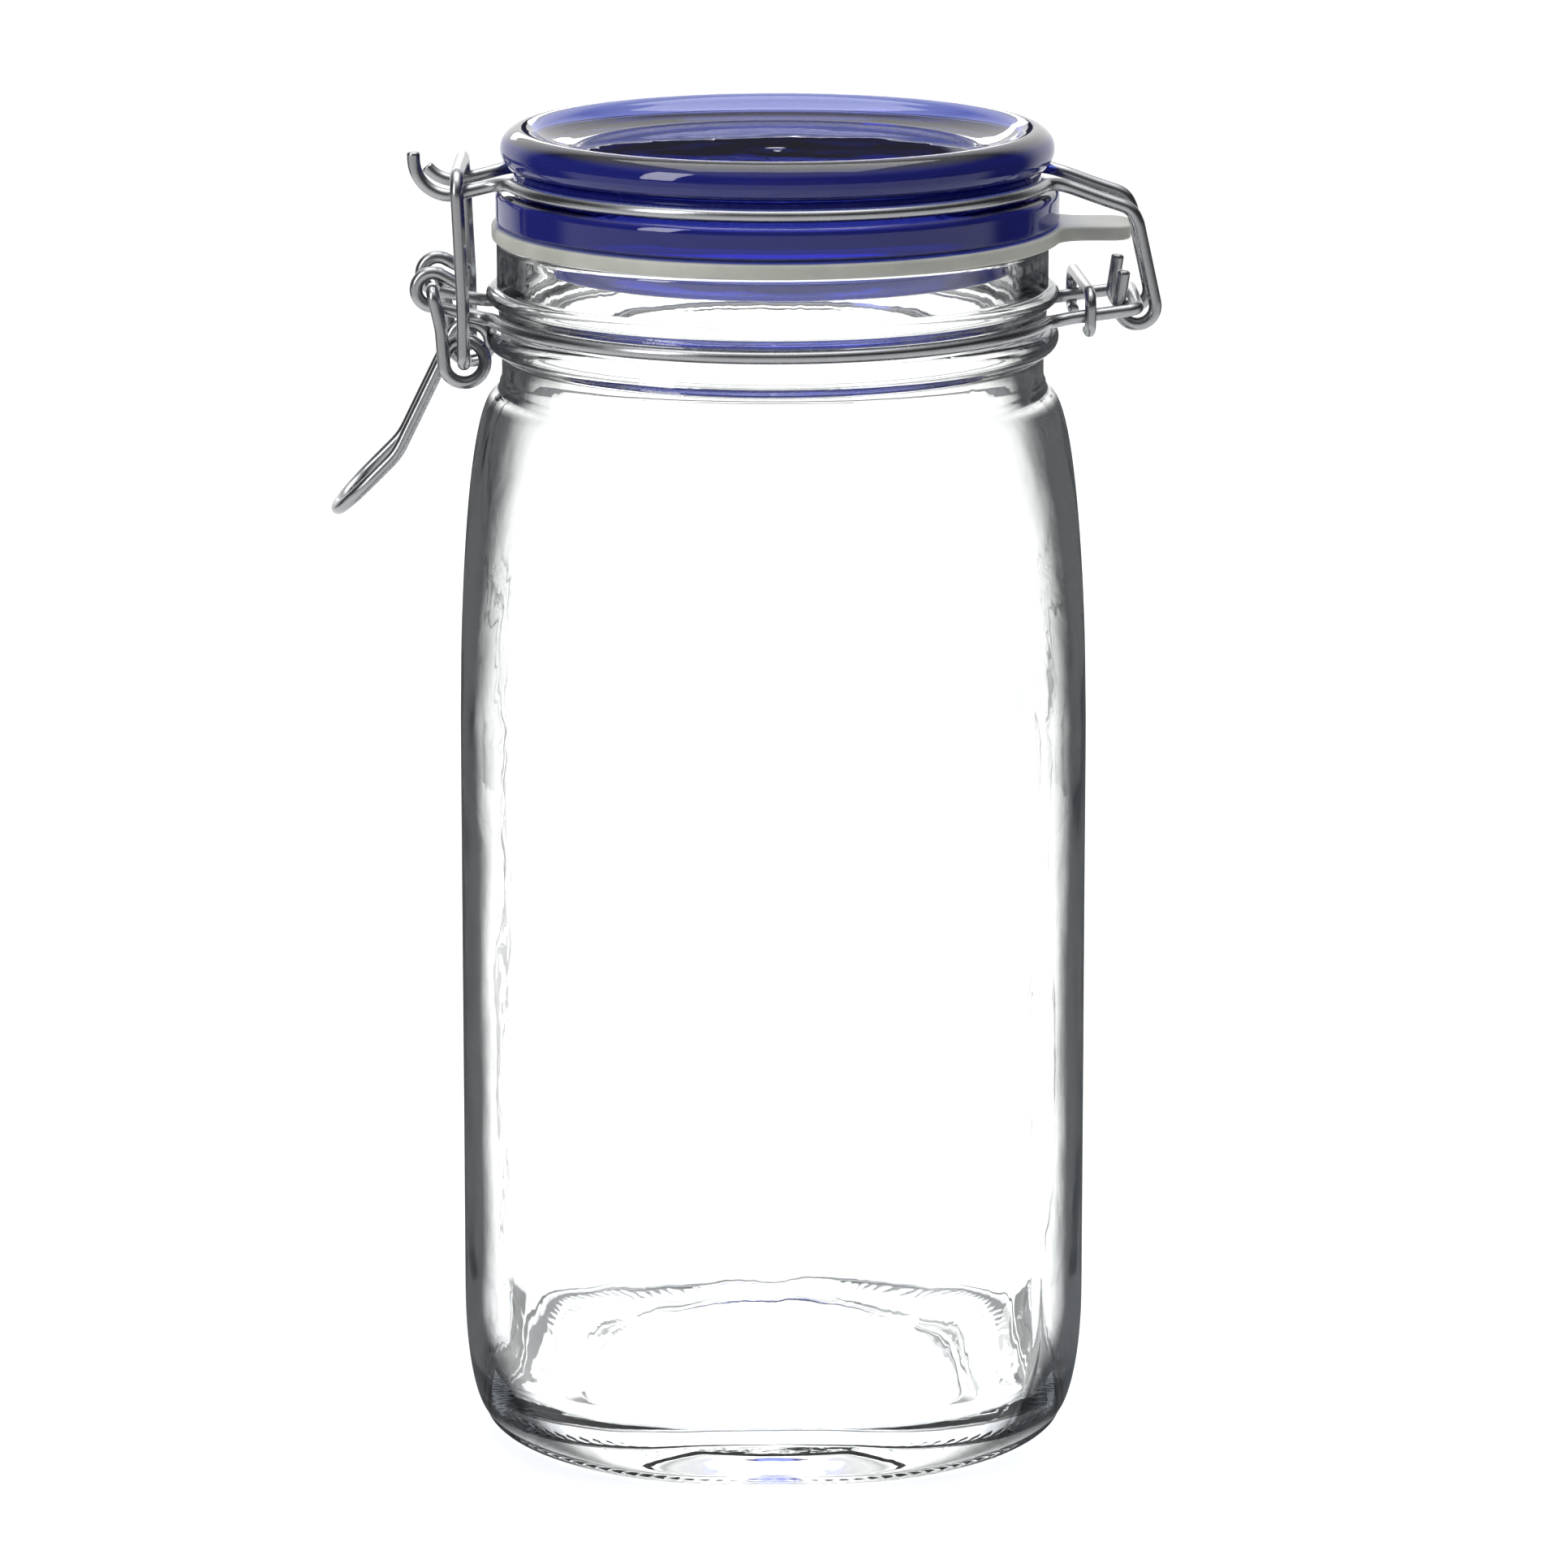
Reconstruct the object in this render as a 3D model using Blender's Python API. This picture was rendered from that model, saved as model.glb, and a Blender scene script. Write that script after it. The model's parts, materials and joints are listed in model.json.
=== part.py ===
"""A 1.5 litre bail clamp jar: a rounded square glass jar whose glass lid is held by bent wires.

Every length below is in millimetres and every angle in degrees. Shapes are drawn about the jar's
own axis: Z runs up it from the surface the jar stands on, the wire hinge is on the +X side and
the over-centre latch on the -X side. The handle reaches further out than the hinge, so the axis
stands AXIS_X from the origin, which is below the middle of the whole object. Each moving piece
hangs on an empty on its joint's axis.
"""

import math

import bmesh
import bpy
from mathutils import Vector

MM = 0.001
AXIS_X = 5.0

# Glass jar: the body
PUNT_RADIUS = 33.6
PUNT_DEPTH = 2.6
BEARING_INNER = 36.4
FOOT_HALF = 50.2
FOOT_FLAT = 7.5
FOOT_Z = 1.6
FOOT_ROUND = 1.0
HEEL_Z = 27.0
BODY_HALF_LOW = 52.6
BODY_HALF_HIGH = 52.1
BODY_FLAT = 24.0
SHOULDER_Z = 134.0
SHOULDER_TOP_Z = 178.0
SHOULDER_POWER = 2.4
WALL = 3.4
FLOOR_Z = 5.4
INNER_HEEL = 9.0

# Glass jar: the round neck
NECK_WAIST = 45.6
LOWER_BEAD_Z = 187.0
LOWER_BEAD_HEIGHT = 2.4
UPPER_BEAD_Z = 194.2
UPPER_BEAD_HEIGHT = 1.5
BEAD_RADIUS = 48.1
GROOVE_RADIUS = 45.9
NECK_RADIUS = 46.3
MOUTH_RADIUS = 42.0
RIM_Z = 203.3
RIM_ROUND = 0.9

# Gasket and glass lid, which sit a little towards the hinge
LID_X = 0.8
GASKET_BOTTOM_Z = 203.6
GASKET_TOP_Z = 206.0
GASKET_OUTER = 47.9
GASKET_INNER = 41.0
TAB_TIP_X = 59.8
TAB_HALF_WIDTH = 6.8
TAB_CORNER = 3.0
TAB_ROOT_FILLET = 5.0
PLUG_BOTTOM_Z = 198.9
PLUG_RADIUS = 40.5
FLANGE_BOTTOM_Z = 206.3
FLANGE_RADIUS = 47.2
LID_GROOVE_RADIUS = 44.1
LID_RIM_RADIUS = 42.8
LID_RIM_ROUND = 3.5
LID_RIM_Z = 218.5
DISH_Z = 218.2
LID_RECESS_Z = 207.4

# Wires
WIRE = 1.1
CLIP_WIRE = 0.95
BRANCH_BEND = 5.0
BEND_LEVEL = 0.45

NECK_RING_RADIUS = 47.5
NECK_RING_Z = 191.05
NECK_EYE_Y = 8.5
EYE_RADIUS = 2.83
HINGE_ARM_Y = 11.5
HINGE = Vector((60.7, 0.0, 193.0))
HINGE_ARM_Z = 192.5
HINGE_ARM_DROP = 0.7
HINGE_CORNER_X = 57.6

LID_RING_RADIUS = 45.6
LID_RING_Z = 213.6
LID_ARM_Y = 8.8
LID_ARM_ROOT_Z = 212.3
LID_ARM_SLOPE_X = 54.6
LID_ARM_SLOPE_Z = 211.0
LID_ARM_BEND_X = 59.7
LID_ARM_BEND_Z = 209.3
LID_ARM_FALL_Z = 206.9
HORN_LOW_Z = 211.6
HORN_X = -53.4
HORN_RADIUS = 6.1
FRONT_HORN_TURN = 90.0
REAR_HORN_TURN = 50.0
FRONT_HORN_RISE = 1.2
REAR_HORN_RISE = 0.4
HOOK_RADIUS = 3.05
HOOK_START = 12.6
HOOK_END = -188.0
HOOK_END_LENGTH = 5.6

CLIP_X = 51.8
CLIP_SKEW = 3.6
CLIP_TOP_Z = 196.0
CLIP_LEG_Y = 14.0
CLIP_FOOT_Z = 189.3
CLIP_END_Y = 10.4

# Over-centre latch
LEVER_PIVOT = Vector((-56.6, 0.0, 195.8))
LATCH_PIVOT = Vector((-51.4, 0.0, 183.9))
LEVER_LEG_Y = 11.0
LEVER_KNEE_X = -55.2
LEVER_KNEE_Z = 189.6
HANDLE_Y = 8.6
HANDLE_TOP = Vector((-56.4, -HANDLE_Y, 181.4))
HANDLE_KNEE = Vector((-63.0, -HANDLE_Y, 168.0))
HANDLE_END = Vector((-67.6, -HANDLE_Y, 163.4))
COIL_RADIUS = 3.42
PIN_END_Y = 6.9
LATCH_PIN_END_Y = 7.2
LATCH_Y = 13.5
LATCH_TOP = Vector((-52.3, 0.0, 215.35))
LATCH_WAIST = Vector((-51.4, -LATCH_Y, 194.0))

# Fineness of the meshes
JAR_SIDES = 44
LID_SIDES = 40
RING_STEP = 9.0
BEND_STEP = 22.5


def clear_scene():
    for obj in list(bpy.data.objects):
        bpy.data.objects.remove(obj, do_unlink=True)


def material(name, colour, roughness, metallic=0.0, transmission=0.0):
    made = bpy.data.materials.new(name)
    made.use_nodes = True
    shader = made.node_tree.nodes["Principled BSDF"]
    shader.inputs["Base Color"].default_value = (*colour, 1.0)
    shader.inputs["Roughness"].default_value = roughness
    shader.inputs["Metallic"].default_value = metallic
    shader.inputs["Transmission Weight"].default_value = transmission
    return made


def joint_axis(name, place):
    """An empty on a joint's axis, which the joint's pieces hang on."""
    empty = bpy.data.objects.new(name, None)
    empty.location = (place + Vector((AXIS_X, 0.0, 0.0))) * MM
    bpy.context.scene.collection.objects.link(empty)
    return empty


def place_object(name, data, look, axis):
    obj = bpy.data.objects.new(name, data)
    data.materials.append(look)
    bpy.context.scene.collection.objects.link(obj)
    obj.parent = axis
    if axis is None:
        obj.location = (AXIS_X * MM, 0.0, 0.0)
    return obj


def smooth(value):
    value = min(1.0, max(0.0, value))
    return value * value * (3.0 - 2.0 * value)


def turn(centre_across, centre_up, across, up, start, end, steps):
    """Points (across, up) on an elliptical arc, both ends included."""
    points = []
    for step in range(steps + 1):
        angle = math.radians(start + (end - start) * step / steps)
        points.append((centre_across + across * math.cos(angle), centre_up + up * math.sin(angle)))
    return points


def square_reach(angle, half, flat):
    """How far a square of half-width half, with straight sides of half-length flat, reaches."""
    across = abs(math.cos(angle))
    along = abs(math.sin(angle))
    if min(across, along) * half <= flat * max(across, along):
        return half / max(across, along)
    lead = flat * (across + along)
    return lead + math.sqrt(lead * lead - 2.0 * flat * flat + (half - flat) ** 2)


def closed_loft(rows, sides, centre_x, origin):
    """A closed mesh through rows (half, flat, z); the first and last row are points on the axis."""
    mesh = bmesh.new()
    shift = Vector((centre_x, 0.0, 0.0)) - origin
    loops = []
    for half, flat, z in rows:
        loop = []
        for side in range(1 if half == 0.0 else sides):
            angle = math.tau * side / sides
            reach = square_reach(angle, half, flat) if half else 0.0
            point = Vector((reach * math.cos(angle), reach * math.sin(angle), z))
            loop.append(mesh.verts.new((point + shift) * MM))
        loops.append(loop)
    for low, high in zip(loops, loops[1:]):
        for side in range(sides):
            after = (side + 1) % sides
            if len(low) == 1:
                mesh.faces.new((low[0], high[side], high[after]))
            elif len(high) == 1:
                mesh.faces.new((low[side], high[0], low[after]))
            else:
                mesh.faces.new((low[side], high[side], high[after], low[after]))
    bmesh.ops.recalc_face_normals(mesh, faces=mesh.faces)
    return mesh


def mesh_object(name, mesh, look, axis=None):
    data = bpy.data.meshes.new(name)
    mesh.to_mesh(data)
    mesh.free()
    data.shade_smooth()
    data.set_sharp_from_angle(angle=math.radians(35.0))
    return place_object(name, data, look, axis)


def body_flat(z):
    """Half the length of the body's flat sides: none at the neck, and short at the foot."""
    rise = min(1.0, max(0.0, (z - FOOT_Z) / (HEEL_Z - FOOT_Z)))
    heel = FOOT_FLAT + (BODY_FLAT - FOOT_FLAT) * math.sin(math.pi / 2.0 * rise)
    shoulder = 1.0 - smooth((z - SHOULDER_Z + 10.0) / (SHOULDER_TOP_Z - SHOULDER_Z + 6.0))
    return heel * shoulder


def body_half(z):
    """The body's half-width from the heel's top to the neck's waist."""
    if z <= SHOULDER_Z:
        share = (z - HEEL_Z) / (SHOULDER_Z - HEEL_Z)
        return BODY_HALF_LOW + (BODY_HALF_HIGH - BODY_HALF_LOW) * share
    share = (z - SHOULDER_Z) / (SHOULDER_TOP_Z - SHOULDER_Z)
    bulge = max(0.0, 1.0 - share**SHOULDER_POWER) ** (1.0 / SHOULDER_POWER)
    return NECK_WAIST + (BODY_HALF_HIGH - NECK_WAIST) * bulge


def shoulder_heights():
    """Heights up the shoulder, closer together where it turns in."""
    return [
        SHOULDER_Z + (SHOULDER_TOP_Z - SHOULDER_Z) * math.sin(math.radians(angle))
        for angle in range(12, 85, 9)
    ]


def jar_outside():
    rows = [(0.0, 0.0, PUNT_DEPTH), (PUNT_RADIUS, 0.0, PUNT_DEPTH), (BEARING_INNER, 0.0, 0.0)]
    rows.append((FOOT_HALF - FOOT_ROUND, FOOT_FLAT, 0.0))
    rows.append((FOOT_HALF - 0.3 * FOOT_ROUND, FOOT_FLAT, 0.4 * FOOT_ROUND))
    heel_rise = HEEL_Z - FOOT_Z
    for half, z in turn(FOOT_HALF, HEEL_Z, BODY_HALF_LOW - FOOT_HALF, heel_rise, -90.0, 0.0, 7):
        rows.append((half, body_flat(z), z))
    for z in [80.0, SHOULDER_Z - 14.0] + shoulder_heights():
        rows.append((body_half(z), body_flat(z), z))
    rows.append((NECK_WAIST + 0.3, 0.0, SHOULDER_TOP_Z + 0.9))
    rows.append((NECK_WAIST, 0.0, LOWER_BEAD_Z - LOWER_BEAD_HEIGHT - 1.4))
    lower = turn(NECK_WAIST, LOWER_BEAD_Z, BEAD_RADIUS - NECK_WAIST, LOWER_BEAD_HEIGHT, -80, 78, 6)
    upper = turn(GROOVE_RADIUS, UPPER_BEAD_Z, BEAD_RADIUS - GROOVE_RADIUS, UPPER_BEAD_HEIGHT, -80, 80, 5)
    for half, z in lower + [(GROOVE_RADIUS, LOWER_BEAD_Z + LOWER_BEAD_HEIGHT + 0.5)] + upper:
        rows.append((half, 0.0, z))
    rows.append((NECK_RADIUS, 0.0, UPPER_BEAD_Z + UPPER_BEAD_HEIGHT + 0.6))
    rows.append((NECK_RADIUS, 0.0, RIM_Z - 1.2))
    rows.append((NECK_RADIUS - RIM_ROUND, 0.0, RIM_Z))
    return rows


def jar_inside():
    rows = [(MOUTH_RADIUS + RIM_ROUND, 0.0, RIM_Z), (MOUTH_RADIUS, 0.0, RIM_Z - 1.2)]
    rows.append((MOUTH_RADIUS, 0.0, SHOULDER_TOP_Z + 5.0))
    for z in reversed(shoulder_heights()[::2]):
        rows.append((min(body_half(z), BODY_HALF_HIGH) - WALL, body_flat(z), z - 2.0))
    for z in (SHOULDER_Z - 20.0, 80.0):
        rows.append((body_half(z) - WALL, body_flat(z), z))
    inner_half = BODY_HALF_LOW - WALL
    heel = turn(inner_half - INNER_HEEL, FLOOR_Z + INNER_HEEL, INNER_HEEL, INNER_HEEL, 0.0, -90.0, 4)
    for half, z in heel:
        rows.append((half, min(body_flat(z), half - INNER_HEEL * 0.7), z))
    rows.append((0.0, 0.0, FLOOR_Z + 0.4))
    return rows


def make_jar():
    mesh = closed_loft(jar_outside() + jar_inside(), JAR_SIDES, 0.0, Vector())
    return mesh_object("glass_jar", mesh, material("clear_glass", (0.93, 0.95, 0.95), 0.02, 0.0, 1.0))


def lid_profile():
    """The lid's section (radius, z) from its underside round to the dish on top."""
    profile = [(0.0, LID_RECESS_Z), (30.0, LID_RECESS_Z - 0.4), (33.6, LID_RECESS_Z - 2.6)]
    profile += [(35.2, PLUG_BOTTOM_Z + 0.7), (36.2, PLUG_BOTTOM_Z)]
    profile += [(PLUG_RADIUS - 1.9, PLUG_BOTTOM_Z), (PLUG_RADIUS - 1.0, PLUG_BOTTOM_Z + 0.9)]
    profile += [(PLUG_RADIUS, FLANGE_BOTTOM_Z), (FLANGE_RADIUS - 0.7, FLANGE_BOTTOM_Z)]
    profile += [(FLANGE_RADIUS, FLANGE_BOTTOM_Z + 0.7), (FLANGE_RADIUS, FLANGE_BOTTOM_Z + 3.8)]
    profile += [(FLANGE_RADIUS - 0.5, FLANGE_BOTTOM_Z + 4.9), (FLANGE_RADIUS - 1.6, FLANGE_BOTTOM_Z + 5.5)]
    profile += [(LID_GROOVE_RADIUS + 0.2, FLANGE_BOTTOM_Z + 5.9), (LID_GROOVE_RADIUS, LID_RING_Z)]
    profile += [(LID_GROOVE_RADIUS + 0.2, LID_RING_Z + 1.7)]
    profile += turn(LID_RIM_RADIUS, LID_RIM_Z, LID_RIM_ROUND, LID_RIM_ROUND, -48.0, 146.0, 9)
    profile += [(37.2, DISH_Z + 1.5), (34.6, DISH_Z + 0.4), (31.5, DISH_Z), (0.0, DISH_Z)]
    return profile


def make_lid(axis):
    rows = [(radius, 0.0, z) for radius, z in lid_profile()]
    mesh = closed_loft(rows, LID_SIDES, LID_X, HINGE)
    blue = material("cobalt_glass", (0.03, 0.04, 0.42), 0.03, 0.0, 0.8)
    return mesh_object("glass_lid", mesh, blue, axis)


def tab_outline():
    """Half of the pull tab's edge, from the middle of its tip to where it meets the ring."""
    corner_x = TAB_TIP_X - TAB_CORNER
    corner_y = TAB_HALF_WIDTH - TAB_CORNER
    points = turn(corner_x, corner_y, TAB_CORNER, TAB_CORNER, 0.0, 84.0, 4)
    fillet_y = TAB_HALF_WIDTH + TAB_ROOT_FILLET
    fillet_x = LID_X + math.sqrt((GASKET_OUTER + TAB_ROOT_FILLET) ** 2 - fillet_y**2)
    end = 180.0 + math.degrees(math.atan2(fillet_y, fillet_x - LID_X))
    points += turn(fillet_x, fillet_y, TAB_ROOT_FILLET, TAB_ROOT_FILLET, 268.0, end, 4)
    return points


def gasket_outline():
    """The gasket's outer edge seen from above, anticlockwise from the tab."""
    tab = tab_outline()
    start = math.degrees(math.atan2(tab[-1][1], tab[-1][0] - LID_X))
    sweep = turn(LID_X, 0.0, GASKET_OUTER, GASKET_OUTER, start, 360.0 - start, 40)
    return tab + sweep[1:-1] + [(x, -y) for x, y in reversed(tab)]


def make_gasket(axis):
    outer = gasket_outline()
    inner = []
    for x, y in outer:
        angle = math.atan2(y, x - LID_X)
        inner.append((LID_X + GASKET_INNER * math.cos(angle), GASKET_INNER * math.sin(angle)))
    mesh = bmesh.new()
    rims = []
    for outline, z in (
        (outer, GASKET_BOTTOM_Z),
        (outer, GASKET_TOP_Z),
        (inner, GASKET_TOP_Z),
        (inner, GASKET_BOTTOM_Z),
    ):
        rims.append([mesh.verts.new((Vector((x, y, z)) - HINGE) * MM) for x, y in outline])
    for index, rim in enumerate(rims):
        other = rims[(index + 1) % len(rims)]
        for step in range(len(rim)):
            after = (step + 1) % len(rim)
            mesh.faces.new((rim[step], rim[after], other[after], other[step]))
    bmesh.ops.recalc_face_normals(mesh, faces=mesh.faces)
    rubber = material("gasket_rubber", (0.72, 0.71, 0.65), 0.6)
    return mesh_object("gasket", mesh, rubber, axis)


def bend_at(before, corner, after, radius):
    """Points along a bend of the given radius, or less where the legs are short, at a corner."""
    inward = (before - corner).normalized()
    outward = (after - corner).normalized()
    opening = inward.angle(outward)
    if radius == 0.0 or opening > math.radians(179.0):
        return [corner]
    cut = radius / math.tan(opening / 2.0)
    centre = corner + (inward + outward).normalized() * radius / math.sin(opening / 2.0)
    start = corner + inward * cut - centre
    end = corner + outward * cut - centre
    turned = start.angle(end)
    steps = max(1, math.ceil(math.degrees(turned) / BEND_STEP))
    points = []
    for step in range(steps + 1):
        share = step / steps
        first = math.sin((1.0 - share) * turned) / math.sin(turned)
        second = math.sin(share * turned) / math.sin(turned)
        points.append(centre + start * first + end * second)
    return points


def bent_path(corners):
    """A wire's centre line through corners (place, bend radius)."""
    places = [Vector(place) for place, _ in corners]
    points = [places[0]]
    for index in range(1, len(corners) - 1):
        points += bend_at(places[index - 1], places[index], places[index + 1], corners[index][1])
    return points + [places[-1]]


def wire_object(name, path, radius, look, axis=None, origin=Vector()):
    data = bpy.data.curves.new(name, "CURVE")
    data.dimensions = "3D"
    data.bevel_depth = radius * MM
    data.bevel_resolution = 2
    data.use_fill_caps = True
    spline = data.splines.new("POLY")
    spline.points.add(len(path) - 1)
    for point, place in zip(spline.points, path):
        point.co = (*((place - origin) * MM), 1.0)
    return place_object(name, data, look, axis)


def flip_y(path):
    return [Vector((place.x, -place.y, place.z)) for place in path]


def branch(ring_radius, centre_x, arm_y, side):
    """Where an arm leaves a ring: (ring angle, arm start x), side +1 at the hinge, -1 at the latch."""
    bend_y = arm_y + BRANCH_BEND
    bend_x = math.sqrt((ring_radius + BRANCH_BEND) ** 2 - bend_y**2)
    return math.degrees(math.atan2(bend_y, bend_x)), centre_x + side * bend_x


def branch_bend(ring_radius, centre_x, arm_y, side, ring_z, arm_z):
    """The outward bend from ring to arm on the front side, ring end first."""
    angle, start_x = branch(ring_radius, centre_x, arm_y, side)
    points = []
    for across, along in turn(0.0, 0.0, BRANCH_BEND, BRANCH_BEND, angle, 90.0, 4):
        turned = math.degrees(math.atan2(along, across)) - angle
        change = smooth(turned / (90.0 - angle) - BEND_LEVEL)
        x = start_x - side * across
        points.append(Vector((x, along - arm_y - BRANCH_BEND, ring_z + (arm_z - ring_z) * change)))
    return points


def half_ring(radius, centre_x, z, latch_y, hinge_y):
    """The front half of a wire ring from the latch side to the hinge side, between its branches."""
    first = 180.0 + branch(radius, centre_x, latch_y, -1)[0] + RING_STEP / 2.0
    last = 360.0 - branch(radius, centre_x, hinge_y, 1)[0] - RING_STEP / 2.0
    steps = round((last - first) / RING_STEP)
    return [Vector((x, y, z)) for x, y in turn(centre_x, 0.0, radius, radius, first, last, steps)]


def neck_eye():
    """The front eye at the latch side, from the wire's cut end round to the start of its arm."""
    centre = LEVER_PIVOT
    y = -NECK_EYE_Y
    tail = turn(centre.x, centre.z, EYE_RADIUS, EYE_RADIUS, 58.0, 270.0, 10)
    end = Vector((centre.x + 5.2, y - 0.15, centre.z + 0.4))
    return [end] + [Vector((x, y, z)) for x, z in tail]


def make_neck_wire(steel):
    arm_z = LEVER_PIVOT.z - EYE_RADIUS
    front = neck_eye()
    latch = branch_bend(NECK_RING_RADIUS, 0.0, NECK_EYE_Y, -1, NECK_RING_Z, arm_z - 0.9)
    front += reversed(latch)
    front += half_ring(NECK_RING_RADIUS, 0.0, NECK_RING_Z, NECK_EYE_Y, HINGE_ARM_Y)
    root_z = HINGE_ARM_Z - HINGE_ARM_DROP
    front += branch_bend(NECK_RING_RADIUS, 0.0, HINGE_ARM_Y, 1, NECK_RING_Z, root_z)
    knee = Vector((HINGE_CORNER_X, -HINGE_ARM_Y, HINGE_ARM_Z))
    corner = Vector((HINGE.x, -HINGE_ARM_Y, HINGE.z))
    middle = Vector((HINGE.x, 0.0, HINGE.z))
    front += bend_at(knee, corner, middle, 2.0)
    return wire_object("neck_wire", front + list(reversed(flip_y(front))), WIRE, steel)


def horn(turned, rise):
    """The upturned end of a lid wire at the latch side, from its cut end to the low point."""
    centre_z = HORN_LOW_Z + HORN_RADIUS
    curve = turn(HORN_X, centre_z, HORN_RADIUS, HORN_RADIUS, 270.0 - turned, 270.0, 6)
    angle = math.radians(270.0 - turned)
    tip = (curve[0][0] + rise * math.sin(angle), curve[0][1] - rise * math.cos(angle))
    return [Vector((x, -LID_ARM_Y, z)) for x, z in [tip] + curve]


def lid_hook():
    """The lid wire's end at the hinge side: down from the arm and round the hinge crossbar."""
    fall = math.radians(HOOK_START)
    rise = math.radians(HOOK_END + 360.0)
    y = -LID_ARM_Y
    down_x = HINGE.x + HOOK_RADIUS * math.cos(fall)
    down_z = HINGE.z + HOOK_RADIUS * math.sin(fall)
    drop = LID_ARM_FALL_Z - down_z
    corners = [((LID_ARM_SLOPE_X, y, LID_ARM_SLOPE_Z), 0.0), ((LID_ARM_BEND_X, y, LID_ARM_BEND_Z), 3.6)]
    corners.append(((down_x - drop * math.tan(fall), y, LID_ARM_FALL_Z), 3.0))
    corners.append(((down_x, y, down_z), 0.0))
    path = bent_path(corners)
    hook = turn(HINGE.x, HINGE.z, HOOK_RADIUS, HOOK_RADIUS, HOOK_START, HOOK_END, 10)
    path += [Vector((x, y, z)) for x, z in hook[1:]]
    end_x = path[-1].x + HOOK_END_LENGTH * math.sin(rise)
    end_z = path[-1].z - HOOK_END_LENGTH * math.cos(rise)
    return path + [Vector((end_x, y, end_z))]


def make_lid_wire(name, turned, rise, steel, axis):
    path = horn(turned, rise)
    latch = branch_bend(LID_RING_RADIUS, LID_X, LID_ARM_Y, -1, LID_RING_Z, HORN_LOW_Z + 0.8)
    path += reversed(latch)
    path += half_ring(LID_RING_RADIUS, LID_X, LID_RING_Z, LID_ARM_Y, LID_ARM_Y)
    path += branch_bend(LID_RING_RADIUS, LID_X, LID_ARM_Y, 1, LID_RING_Z, LID_ARM_ROOT_Z)
    path += lid_hook()
    if "rear" in name:
        path = flip_y(path)
    return wire_object(name, path, WIRE, steel, axis, HINGE)


def make_clip(steel):
    """A staple over the neck wire's two hinge arms, its legs turned in under them."""
    half = [
        (Vector((0.0, 0.0, CLIP_TOP_Z)), 0.0),
        (Vector((0.0, -CLIP_LEG_Y, CLIP_TOP_Z)), 2.6),
        (Vector((0.0, -CLIP_LEG_Y, CLIP_FOOT_Z)), 1.7),
        (Vector((0.0, -CLIP_END_Y, CLIP_FOOT_Z)), 0.0),
    ]
    front = bent_path(half)
    path = list(reversed(front)) + flip_y(front)[1:]
    clip = wire_object("tension_clip", path, CLIP_WIRE, steel)
    clip.location = ((AXIS_X + CLIP_X) * MM, 0.0, 0.0)
    clip.rotation_euler = (0.0, 0.0, math.radians(CLIP_SKEW))
    return clip


def make_latch(steel, axis):
    """The loop that hooks over the lid wires: a top bar, two strands and two pins turned in."""
    pin = Vector((LATCH_PIVOT.x, -LATCH_Y, LATCH_PIVOT.z))
    half = [
        (Vector((LATCH_TOP.x, 0.0, LATCH_TOP.z)), 0.0),
        (Vector((LATCH_TOP.x, -LATCH_Y, LATCH_TOP.z)), 3.4),
        (LATCH_WAIST, 40.0),
        (pin, 1.6),
        (Vector((pin.x, -LATCH_PIN_END_Y, pin.z)), 0.0),
    ]
    front = bent_path(half)
    path = list(reversed(front)) + flip_y(front)[1:]
    return wire_object("latch_loop", path, WIRE, steel, axis, LATCH_PIVOT)


def lever_coil():
    """The lever's full turn, which shifts inwards from its leg to its handle strand."""
    turns = turn(LATCH_PIVOT.x, LATCH_PIVOT.z, COIL_RADIUS, COIL_RADIUS, 180.0, 510.0, 15)
    points = []
    for index, (x, z) in enumerate(turns):
        shift = smooth(index / (len(turns) - 1))
        points.append(Vector((x, -LEVER_LEG_Y + (LEVER_LEG_Y - HANDLE_Y) * shift, z)))
    return points


def handle_half():
    """The front strand of the handle and half of its round end."""
    end = HANDLE_END
    points = bent_path([(HANDLE_TOP, 0.0), (HANDLE_KNEE, 9.0), (end, 0.0)])
    lead = (end - HANDLE_KNEE).normalized()
    for across, along in turn(0.0, 0.0, HANDLE_Y, HANDLE_Y, 72.0, 0.0, 4):
        points.append(Vector((end.x + lead.x * across, -along, end.z + lead.z * across)))
    return points


def make_lever(steel, axis):
    pivot = LEVER_PIVOT
    leg = [
        (Vector((pivot.x, -PIN_END_Y, pivot.z)), 0.0),
        (Vector((pivot.x, -LEVER_LEG_Y, pivot.z)), 1.5),
        (Vector((LEVER_KNEE_X, -LEVER_LEG_Y, LEVER_KNEE_Z)), 8.0),
        (Vector((LATCH_PIVOT.x - COIL_RADIUS, -LEVER_LEG_Y, LATCH_PIVOT.z)), 0.0),
    ]
    front = bent_path(leg) + lever_coil()[1:] + handle_half()
    path = front + list(reversed(flip_y(front)))[1:]
    return wire_object("lever", path, WIRE, steel, axis, pivot)


def main():
    clear_scene()
    steel = material("plated_steel", (0.42, 0.43, 0.44), 0.32, 1.0)
    hinge_axis = joint_axis("lid_hinge_axis", HINGE)
    lever_axis = joint_axis("lever_axis", LEVER_PIVOT)
    latch_axis = joint_axis("latch_axis", LATCH_PIVOT)
    make_jar()
    make_neck_wire(steel)
    make_clip(steel)
    make_lid(hinge_axis)
    make_gasket(hinge_axis)
    make_lid_wire("lid_wire_front", FRONT_HORN_TURN, FRONT_HORN_RISE, steel, hinge_axis)
    make_lid_wire("lid_wire_rear", REAR_HORN_TURN, REAR_HORN_RISE, steel, hinge_axis)
    make_lever(steel, lever_axis)
    make_latch(steel, latch_axis)


main()
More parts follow.
